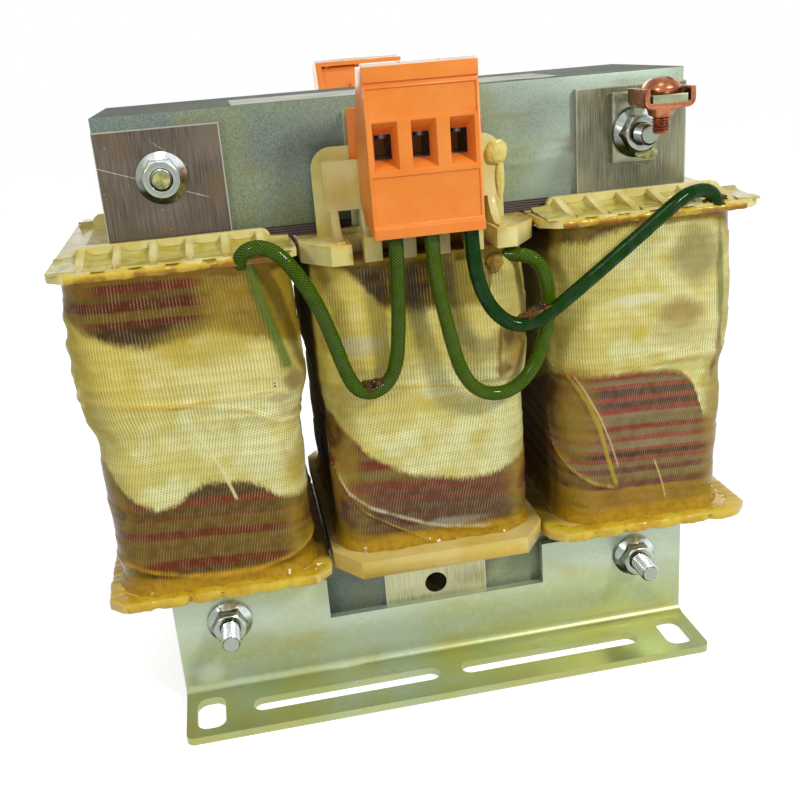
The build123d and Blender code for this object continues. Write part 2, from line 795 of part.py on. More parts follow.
bolt_seats = {
    "low_left": (-limb_pitch, low_bolt_z, bracket_face, bracket_face),
    "low_right": (limb_pitch, low_bolt_z, bracket_face, bracket_face),
    "high_left": (-limb_pitch, high_bolt_z, strap_face, strap_face),
    "high_right": (limb_pitch, high_bolt_z, earth_seat, strap_face),
}
for name, (x, z, front_seat, back_seat) in bolt_seats.items():
    length = front_seat + back_seat + nut_height + bolt_standout[name]
    nodes[f"clamp_bolt_{name}"] = along_front(x, back_seat, z) * make_bolt(length)
    nodes[f"flange_nut_{name}"] = along_front(x, -front_seat, z) * make_nut()
    nodes[f"bolt_sleeve_{name}"] = make_sleeve(x, z)

nodes["earth_bracket"] = make_earth_bracket()
nodes["earth_clamp"] = make_earth_clamp()
nodes["earth_screw"] = make_earth_screw()

block_pieces = {
    "terminal_housing": make_terminal_block(),
    "terminal_cages": Compound(make_cages()),
    "terminal_screws": Compound(make_clamp_screws()),
    "marker_strip": make_marker_strip(),
}
for name, piece in block_pieces.items():
    nodes[f"{name}_front"] = piece
    nodes[f"{name}_back"] = mirror(piece, about=Plane.XZ)

lead_ends = {"left": ["bobbin_left"], "centre": ["tape_wrap_centre", "winding_centre"], "right": ["bobbin_right"]}
for name, landings in lead_ends.items():
    lead = make_lead(name)
    for landing in landings:
        lead -= nodes[landing]
    nodes[f"lead_{name}"] = max(lead.solids(), key=lambda solid: solid.volume)

for name, piece in nodes.items():
    export_step(piece, f"parts/{name}.step")
print(len(nodes), "nodes written")
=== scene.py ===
import math

import bmesh
import bpy
import numpy as np
from mathutils import Matrix, Vector, noise


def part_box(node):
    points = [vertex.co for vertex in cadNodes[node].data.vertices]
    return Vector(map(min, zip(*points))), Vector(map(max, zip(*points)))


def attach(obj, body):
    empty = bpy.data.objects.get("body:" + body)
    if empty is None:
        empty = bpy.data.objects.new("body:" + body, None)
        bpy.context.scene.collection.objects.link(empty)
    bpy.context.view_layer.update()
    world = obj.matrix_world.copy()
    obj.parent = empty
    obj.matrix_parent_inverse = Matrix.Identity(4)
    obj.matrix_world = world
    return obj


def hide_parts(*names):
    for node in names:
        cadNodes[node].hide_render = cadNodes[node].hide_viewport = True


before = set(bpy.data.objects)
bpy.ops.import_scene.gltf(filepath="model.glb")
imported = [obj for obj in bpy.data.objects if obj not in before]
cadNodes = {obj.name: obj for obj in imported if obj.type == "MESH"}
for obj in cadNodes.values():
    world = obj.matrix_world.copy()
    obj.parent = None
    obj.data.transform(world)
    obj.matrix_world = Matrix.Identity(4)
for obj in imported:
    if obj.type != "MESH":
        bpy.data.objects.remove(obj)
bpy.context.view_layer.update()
print("frame loaded")

mm = 0.001


# ---- shader sums and nodes
def tone(red, green, blue):
    # a colour as read off a screen, 0 to 255, made linear
    line = [c / 255 for c in (red, green, blue)]
    return tuple(c / 12.92 if c <= 0.04045 else ((c + 0.055) / 1.055) ** 2.4 for c in line) + (1.0,)


def feed(tree, socket, item):
    if isinstance(item, Value):
        tree.links.new(item.socket, socket)
    else:
        socket.default_value = item


def mathNode(tree, operation, *items):
    made = tree.nodes.new("ShaderNodeMath")
    made.operation = operation
    for socket, item in zip(made.inputs, items):
        feed(tree, socket, item)
    return Value(tree, made.outputs[0])


class Value:
    # wraps a socket, so that sums on it add their Math nodes
    def __init__(self, tree, socket):
        self.tree = tree
        self.socket = socket

    def sum(self, operation, *items):
        return mathNode(self.tree, operation, self, *items)

    def __add__(self, other):
        return self.sum("ADD", other)

    def __sub__(self, other):
        return self.sum("SUBTRACT", other)

    def __rsub__(self, other):
        return mathNode(self.tree, "SUBTRACT", other, self)

    def __mul__(self, other):
        return self.sum("MULTIPLY", other)

    def __truediv__(self, other):
        return self.sum("DIVIDE", other)

    def __rtruediv__(self, other):
        return mathNode(self.tree, "DIVIDE", other, self)

    def __pow__(self, other):
        return self.sum("POWER", other)

    def __abs__(self):
        return self.sum("ABSOLUTE")

    __radd__ = __add__
    __rmul__ = __mul__


class Finish:
    # one material; node() adds any node and the others are short ways to the usual ones
    def __init__(self, name, **constants):
        self.material = bpy.data.materials.new(name)
        self.material.use_nodes = True
        self.tree = self.material.node_tree
        self.shader = self.tree.nodes["Principled BSDF"]
        for key, value in constants.items():
            self.shader.inputs[key.replace("_", " ")].default_value = value
        coordinates = self.node("TexCoord", output="Object")
        self.place = self.node("VectorMath", {"operation": "SCALE"}, {0: coordinates, "Scale": 1 / mm})
        self.x, self.y, self.z = self.parts(self.place)

    def node(self, kind, settings=None, inputs=None, output=0):
        made = self.tree.nodes.new("ShaderNode" + kind)
        for key, value in (settings or {}).items():
            if key == "stops":
                ramp = made.color_ramp
                while len(ramp.elements) < len(value):
                    ramp.elements.new(0.5)
                for element, (position, colour) in zip(ramp.elements, value):
                    element.position = position
                    element.color = colour
            elif key == "interpolation":
                made.color_ramp.interpolation = value
            else:
                setattr(made, key, value)
        for key, value in (inputs or {}).items():
            feed(self.tree, made.inputs[key], value)
        return Value(self.tree, made.outputs[output])

    def parts(self, vector):
        return [self.node("SeparateXYZ", None, {0: vector}, axis) for axis in (0, 1, 2)]

    def join(self, x, y, z=0.0):
        return self.node("CombineXYZ", None, {0: x, 1: y, 2: z})

    def noise(self, scale, detail=2.0, stretch=(1, 1, 1), place=None, roughness=0.5):
        stretched = self.node("VectorMath", {"operation": "MULTIPLY"}, {0: place or self.place, 1: stretch})
        return self.node("TexNoise", None, {"Vector": stretched, "Scale": scale, "Detail": detail,
                                            "Roughness": roughness})

    def spread(self, value, low, high, least=0.0, most=1.0):
        return self.node("MapRange", {"interpolation_type": "SMOOTHSTEP"},
                         {0: value, 1: low, 2: high, 3: least, 4: most})

    def band(self, value, centre, half, soft):
        return self.spread(abs(value - centre), half + soft, half - soft)

    def mix(self, share, first, second, blend="MIX"):
        return self.node("Mix", {"data_type": "RGBA", "blend_type": blend}, {0: share, 6: first, 7: second}, 2)

    def ramp(self, value, stops, interpolation="LINEAR"):
        low, high = stops[0][0], stops[-1][0]
        scaled = [((at - low) / (high - low), colour) for at, colour in stops]
        share = (value - low) / (high - low)
        return self.node("ValToRGB", {"stops": scaled, "interpolation": interpolation}, {0: share})

    def along(self, value, points):
        # height of a line drawn through the points
        heights = [h for _, h in points]
        low, span = min(heights), max(max(heights) - min(heights), 0.1)
        stops = [(at, ((h - low) / span,) * 3 + (1.0,)) for at, h in points]
        grey = self.node("RGBToBW", None, {0: self.ramp(value, stops)})
        return grey * span + low

    def ripple(self, value, pitch):
        return (value * (2 * math.pi / pitch)).sum("SINE") * 0.5 + 0.5

    def bump(self, height, distance, strength=1.0):
        return self.node("Bump", None, {"Height": height, "Distance": distance * mm, "Strength": strength})

    def set(self, **sockets):
        for key, value in sockets.items():
            feed(self.tree, self.shader.inputs[key.replace("_", " ")], value)
        return self.material


# ---- pieces
def newPiece(name, data, material, nodes=(), smooth=True):
    piece = bpy.data.objects.new(name, data)
    bpy.context.scene.collection.objects.link(piece)
    data.materials.clear()
    data.materials.append(material)
    if smooth and hasattr(data, "polygons"):
        data.polygons.foreach_set("use_smooth", [True] * len(data.polygons))
    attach(piece, "root")
    if nodes:
        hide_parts(*nodes)
    return piece


def gridMesh(name, points, loopU=False, loopV=False, capEnds=False):
    # points is rows by columns by 3, in millimetres
    rows, columns = points.shape[:2]
    index = np.arange(rows * columns).reshape(rows, columns)
    if loopU:
        index = np.concatenate([index, index[:, :1]], axis=1)
    if loopV:
        index = np.concatenate([index, index[:1]], axis=0)
    quads = np.stack([index[:-1, :-1], index[:-1, 1:], index[1:, 1:], index[1:, :-1]], -1).reshape(-1, 4)
    faces = [tuple(q) for q in quads.tolist()]
    if capEnds:
        faces.append(tuple(reversed(index[0, :columns].tolist())))
        faces.append(tuple(index[-1, :columns].tolist()))
    mesh = bpy.data.meshes.new(name)
    mesh.from_pydata((points.reshape(-1, 3) * mm).tolist(), [], faces)
    mesh.validate()
    mesh.update()
    return mesh


def cornerPlaces(mesh, name, values, columns, width):
    # writes (across, up) for each face corner; width is the round trip, so the join has no jump
    made = mesh.attributes.new(name, "FLOAT_VECTOR", "CORNER")
    corners = np.zeros(len(mesh.loops), np.int32)
    mesh.loops.foreach_get("vertex_index", corners)
    places = values.reshape(-1, 2)[corners]
    starts = np.zeros(len(mesh.polygons), np.int32)
    mesh.polygons.foreach_get("loop_start", starts)
    totals = np.zeros(len(mesh.polygons), np.int32)
    mesh.polygons.foreach_get("loop_total", totals)
    for start, total in zip(starts, totals):
        own = places[start:start + total, 0]
        if own.max() - own.min() > width / 2:
            own[own < 0] += width
    full = np.zeros((len(corners), 3), np.float32)
    full[:, :2] = places
    made.data.foreach_set("vector", full.ravel())


def fieldNoise(points, scale, seed=0.0):
    flat = points.reshape(-1, 3)
    values = [noise.noise(Vector((p[0] / scale + seed, p[1] / scale, p[2] / scale))) for p in flat]
    return np.array(values).reshape(points.shape[:-1])


def softened(name, node, width, material, segments=2, flatten=4.0, split=False):
    # copy of a CAD node with its flat faces whole again and its edges rounded; split keeps faces with
    # openings in triangles, so that none is bridged
    mesh = cadNodes[node].data.copy()
    mesh.name = name
    body = bmesh.new()
    body.from_mesh(mesh)
    bmesh.ops.remove_doubles(body, verts=body.verts, dist=1e-6)
    bmesh.ops.dissolve_limit(body, angle_limit=math.radians(flatten), verts=body.verts, edges=body.edges)
    if split:
        bmesh.ops.triangulate(body, faces=body.faces)
    body.to_mesh(mesh)
    body.free()
    piece = newPiece(name, mesh, material, [node])
    rounding = piece.modifiers.new("rounding", "BEVEL")
    rounding.width = width * mm
    rounding.segments = segments
    rounding.limit_method = "ANGLE"
    rounding.angle_limit = math.radians(30)
    rounding.harden_normals = True
    return piece


def blob(name, centre, size, material, seed=0, rough=0.25, lean=(0, 0, 0), nodes=()):
    # uneven drop of resin
    mesh = bpy.data.meshes.new(name)
    body = bmesh.new()
    bmesh.ops.create_icosphere(body, subdivisions=5, radius=1.0)
    for vert in body.verts:
        push = 1 + rough * noise.noise(vert.co * 1.6 + Vector((seed, 0, 0)))
        push += 0.4 * rough * noise.noise(vert.co * 4.5 + Vector((0, seed, 0)))
        push += 0.2 * rough * noise.noise(vert.co * 11 + Vector((0, 0, seed)))
        vert.co = vert.co * push
    body.transform(Matrix.Diagonal((*[s / 2 * mm for s in size], 1)))
    turned = Matrix.Rotation(math.radians(lean[0]), 4, "X") @ Matrix.Rotation(math.radians(lean[1]), 4, "Y")
    turned = turned @ Matrix.Rotation(math.radians(lean[2]), 4, "Z")
    body.transform(Matrix.Translation(Vector(centre) * mm) @ turned)
    body.to_mesh(mesh)
    body.free()
    return newPiece(name, mesh, material, nodes)


# ---- camera, light and floor
view = {"place": (-53.68, -314.74, 197.38), "lens": 45.0, "sensor": 36.0,
        "right": (0.980, -0.187, -0.075), "forward": (0.151, 0.928, -0.341)}

camData = bpy.data.cameras.new("camera")
camData.lens = view["lens"]
camData.sensor_width = view["sensor"]
camera = bpy.data.objects.new("camera", camData)
bpy.context.scene.collection.objects.link(camera)
forward = Vector(view["forward"]).normalized()
right = (Vector(view["right"]) - forward * forward.dot(Vector(view["right"]))).normalized()
turn = Matrix((right, right.cross(forward), -forward)).transposed().to_4x4()
camera.matrix_world = Matrix.Translation(Vector(view["place"]) * mm) @ turn
bpy.context.scene.camera = camera
bpy.context.scene.view_settings.view_transform = "Standard"

lamps = {
    "key": {"place": (0.42, -0.62, 0.62), "size": 0.13, "power": 4.6},
    "fill": {"place": (-0.6, -0.7, 0.45), "size": 0.13, "power": 1.9},
    "top": {"place": (-0.05, -0.25, 0.9), "size": 0.15, "power": 0.7},
    "rear": {"place": (0.1, 0.95, 0.36), "size": 0.5, "power": 3.2},
}
studio = {"ambient": 0.34, "floorGlow": 0.72, "floorColour": (0.62, 0.62, 0.62, 1)}

for name, plan in lamps.items():
    lampData = bpy.data.lights.new(name, "AREA")
    lampData.shape = "SQUARE"
    lampData.size = plan["size"]
    lampData.energy = plan["power"]
    lamp = bpy.data.objects.new(name, lampData)
    lamp.location = plan["place"]
    aim = Vector((0, 0, 0.09)) - lamp.location
    lamp.rotation_euler = aim.to_track_quat("-Z", "Y").to_euler()
    bpy.context.scene.collection.objects.link(lamp)

world = bpy.data.worlds.new("studio")
bpy.context.scene.world = world
world.use_nodes = True
sky = world.node_tree
background = sky.nodes["Background"]
background.inputs["Color"].default_value = (1, 1, 1, 1)
paths = sky.nodes.new("ShaderNodeLightPath")
seen = Value(sky, paths.outputs["Is Camera Ray"]).sum("MAXIMUM", Value(sky, paths.outputs["Is Glossy Ray"]))
seen = seen.sum("MAXIMUM", Value(sky, paths.outputs["Is Transmission Ray"]))
feed(sky, background.inputs["Strength"], seen * (1 - studio["ambient"]) + studio["ambient"])

floorFinish = Finish("floorWhite", Base_Color=studio["floorColour"], Roughness=0.9)
floorSeen = floorFinish.node("LightPath", None, None, "Is Camera Ray")
floorSeen = floorSeen.sum("MAXIMUM", floorFinish.node("LightPath", None, None, "Is Glossy Ray"))
floorSeen = floorSeen.sum("MAXIMUM", floorFinish.node("LightPath", None, None, "Is Transmission Ray"))
glow = floorFinish.node("Emission", None, {"Color": (1, 1, 1, 1), "Strength": floorSeen * studio["floorGlow"]})
floorSum = floorFinish.node("AddShader", None, {0: glow, 1: Value(floorFinish.tree, floorFinish.shader.outputs[0])})
feed(floorFinish.tree, floorFinish.tree.nodes["Material Output"].inputs["Surface"], floorSum)
floorMesh = bpy.data.meshes.new("floor")
floorMesh.from_pydata([(-4, -4, 0), (4, -4, 0), (4, 4, 0), (-4, 4, 0)], [], [(0, 1, 2, 3)])
floorMesh.materials.append(floorFinish.material)
floor = bpy.data.objects.new("floor", floorMesh)
bpy.context.scene.collection.objects.link(floor)
print("camera and lights placed")

# ---- leads
leadPlan = {"diameter": 4.1, "start": (0.0, -53.0, 151.5), "sides": 28, "ringStep": 0.3, "braidDepth": 0.03}
leadSteps = {
    "left": [
        (-8.8, 0, 0), (-8.8, 0, -9.7), (-9.1, 0.7, -19.3), (-9.5, 1.8, -28.9), (-10.2, 3.0, -37.9),
        (-11.8, 3.8, -43.9), (-15.0, 4.3, -47.6), (-19.2, 4.4, -48.8), (-22.8, 4.1, -46.7),
        (-25.3, 3.2, -41.0), (-27.6, 2.3, -32.1), (-31.0, 1.6, -21.1), (-35.7, 1.8, -11.6),
        (-40.2, 2.8, -5.6), (-44.6, 3.6, -3.5), (-48.4, 4.6, -4.2), (-50.3, 6.1, -6.4), (-50.4, 8.0, -8.5),
    ],
    "centre": [
        (1.0, 0, 0), (1.0, 0, -10.4), (2.4, 0.4, -21.6), (4.8, 1.0, -34.0), (7.4, 2.0, -44.9),
        (12.4, 3.5, -52.3), (20.2, 4.0, -54.4), (27.8, 4.0, -50.3), (33.0, 4.0, -40.5),
        (35.3, 4.1, -28.0), (33.8, 5.0, -18.3), (28.8, 6.2, -13.6), (20.6, 11.4, -14.6),
    ],
    "right": [
        (12.0, 0, 0), (12.0, 0, -10.1), (13.2, -0.9, -19.9), (16.9, -2.0, -28.1), (23.4, -2.6, -32.7),
        (31.2, -2.4, -31.0), (43.0, -1.4, -23.2), (56.0, 1.4, -15.3), (68.6, 3.2, -6.9),
        (76.4, 4.8, -2.0), (82.6, 6.4, -1.5), (86.6, 7.5, -3.7), (87.6, 8.1, -7.1),
    ],
}


def leadLine(name, steps):
    # the lead's own line, read from the curve that the route controls
    curve = bpy.data.curves.new(name + "_line", "CURVE")
    curve.dimensions = "3D"
    curve.resolution_u = 24
    spline = curve.splines.new("NURBS")
    spline.points.add(len(steps) - 1)
    for point, step in zip(spline.points, steps):
        point.co = [(a + b) * mm for a, b in zip(leadPlan["start"], step)] + [1]
    spline.order_u = 3
    spline.use_endpoint_u = True
    holder = bpy.data.objects.new(name + "_line", curve)
    line = bpy.data.meshes.new_from_object(holder)
    points = np.array([v.co for v in line.vertices]) / mm
    bpy.data.objects.remove(holder)
    bpy.data.curves.remove(curve)
    bpy.data.meshes.remove(line)
    return points


def evenly(points, step):
    # the same line in equal steps
    runs = np.concatenate([[0], np.cumsum(np.linalg.norm(np.diff(points, axis=0), axis=1))])
    count = int(runs[-1] / step) + 1
    at = np.linspace(0, runs[-1], count)
    return np.stack([np.interp(at, runs, points[:, k]) for k in range(3)], -1), at


def tubeFrames(points):
    # a direction along the line and two across it, carried along without twist
    along = np.gradient(points, axis=0)
    along /= np.linalg.norm(along, axis=1)[:, None]
    side = np.cross(along[0], (0, 1, 0))
    side /= np.linalg.norm(side)
    sides = []
    for direction in along:
        side = side - direction * side.dot(direction)
        side = side / np.linalg.norm(side)
        sides.append(side)
    sides = np.array(sides)
    return along, sides, np.cross(along, sides)


def leadFinish(name, light, dark):
    finish = Finish(name, Coat_Roughness=0.06, Coat_IOR=1.33, Specular_IOR_Level=0.01)
    run, angle, _ = finish.parts(finish.node("Attribute", {"attribute_name": "braidPlace"}, None, "Vector"))
    oneWay = finish.ripple(run + angle * 2.6, 0.84)
    otherWay = finish.ripple(run - angle * 2.6, 0.84)
    cells = oneWay * otherWay
    streak = finish.noise(0.35, 3.0)
    grain = finish.spread(cells, 0.05, 0.6)
    colour = finish.mix(grain, dark, light)
    colour = finish.mix(finish.spread(streak, 0.52, 0.75, 0.0, 0.4), colour, dark)
    pooled = finish.spread(finish.noise(0.22, 2.0, (1, 1, 1)), 0.42, 0.6)
    height = cells * (1 - pooled * 0.8) + streak * 0.4
    return finish.set(Base_Color=colour, Roughness=finish.spread(pooled, 0.0, 1.0, 0.5, 0.3),
                      Coat_Weight=finish.spread(streak, 0.35, 0.65, 0.25, 0.7), Normal=finish.bump(height, 0.14))


leadGreens = {
    "left": leadFinish("sleeveGreenLeft", tone(84, 112, 4), tone(40, 62, 1)),
    "centre": leadFinish("sleeveGreenCentre", tone(90, 118, 4), tone(46, 68, 1)),
    "right": leadFinish("sleeveGreenRight", tone(22, 72, 6), tone(8, 42, 2)),
}
for side, steps in leadSteps.items():
    name = "leadSleeving_" + side
    linePoints, runs = evenly(leadLine(name, steps), leadPlan["ringStep"])
    along, across, over = tubeFrames(linePoints)
    turns = np.arange(leadPlan["sides"]) / leadPlan["sides"]
    braid = 0.5 + 0.5 * np.sin((runs[:, None] + turns * 10.4) * 2 * math.pi / 1.3)
    braid = braid * (0.5 + 0.5 * np.sin((runs[:, None] - turns * 10.4) * 2 * math.pi / 1.3))
    lump = fieldNoise(linePoints, 5.0)[:, None] * 0.08
    radius = leadPlan["diameter"] / 2 - leadPlan["braidDepth"] / 2 + braid * leadPlan["braidDepth"] + lump
    angles = turns * 2 * math.pi
    ring = (across[:, None] * np.cos(angles)[None, :, None] + over[:, None] * np.sin(angles)[None, :, None])
    skin = linePoints[:, None] + ring * radius[..., None]
    mesh = gridMesh(name, skin, loopU=True, capEnds=True)
    span = np.broadcast_to(runs[:, None], radius.shape)
    places = np.stack([span, np.broadcast_to(turns * 4 - 2, radius.shape)], -1)
    made = mesh.attributes.new("braidPlace", "FLOAT_VECTOR", "CORNER")
    corners = np.zeros(len(mesh.loops), np.int32)
    mesh.loops.foreach_get("vertex_index", corners)
    values = np.zeros((len(corners), 3), np.float32)
    values[:, :2] = places.reshape(-1, 2)[corners]
    quadCount = (len(linePoints) - 1) * leadPlan["sides"]
    quads = values[:quadCount * 4].reshape(-1, 4, 3)
    wrap = (quads[..., 1].max(1) - quads[..., 1].min(1)) > 2
    quads[wrap] = np.where(quads[wrap][..., 1:2] < 0, quads[wrap] + (0, 4, 0), quads[wrap])
    values[:quadCount * 4] = quads.reshape(-1, 3)
    made.data.foreach_set("vector", values.ravel())
    newPiece(name, mesh, leadGreens[side], ["lead_" + side])
print("leads made")

# ---- coils
rim = {"halfWidth": 29.0, "halfDepth": 44.0, "corner": 11.2, "columnStep": 0.75, "rowStep": 0.6}
buildShares = (0, 0.06, 0.42, 0.5, 0.57, 0.68, 0.86, 1)
coilCore = {"halfWidth": 19.3, "halfDepth": 31.3, "tape": 1.2}
faceBuild = (9.7, 10.7, 11.2, 10.7, 12.2, 13.0, 12.7, 12.0)
stripeTones = {
    "amberBright": tone(178, 133, 32),
    "tapeLight": tone(129, 110, 86),
    "amberMid": tone(149, 110, 28),
    "tapeMid": tone(117, 99, 70),
    "tapeOlive": tone(112, 89, 43),
    "enamelBright": tone(131, 59, 51),
    "tapeBrown": tone(96, 74, 38),
    "enamelMid": tone(119, 48, 38),
    "tapeDeep": tone(100, 56, 46),
    "shadowLight": tone(77, 59, 52),
    "tapeDark": tone(89, 63, 26),
    "enamelDeep": tone(110, 41, 26),
    "enamelDark": tone(89, 33, 20),
    "shadowMid": tone(62, 43, 28),
}
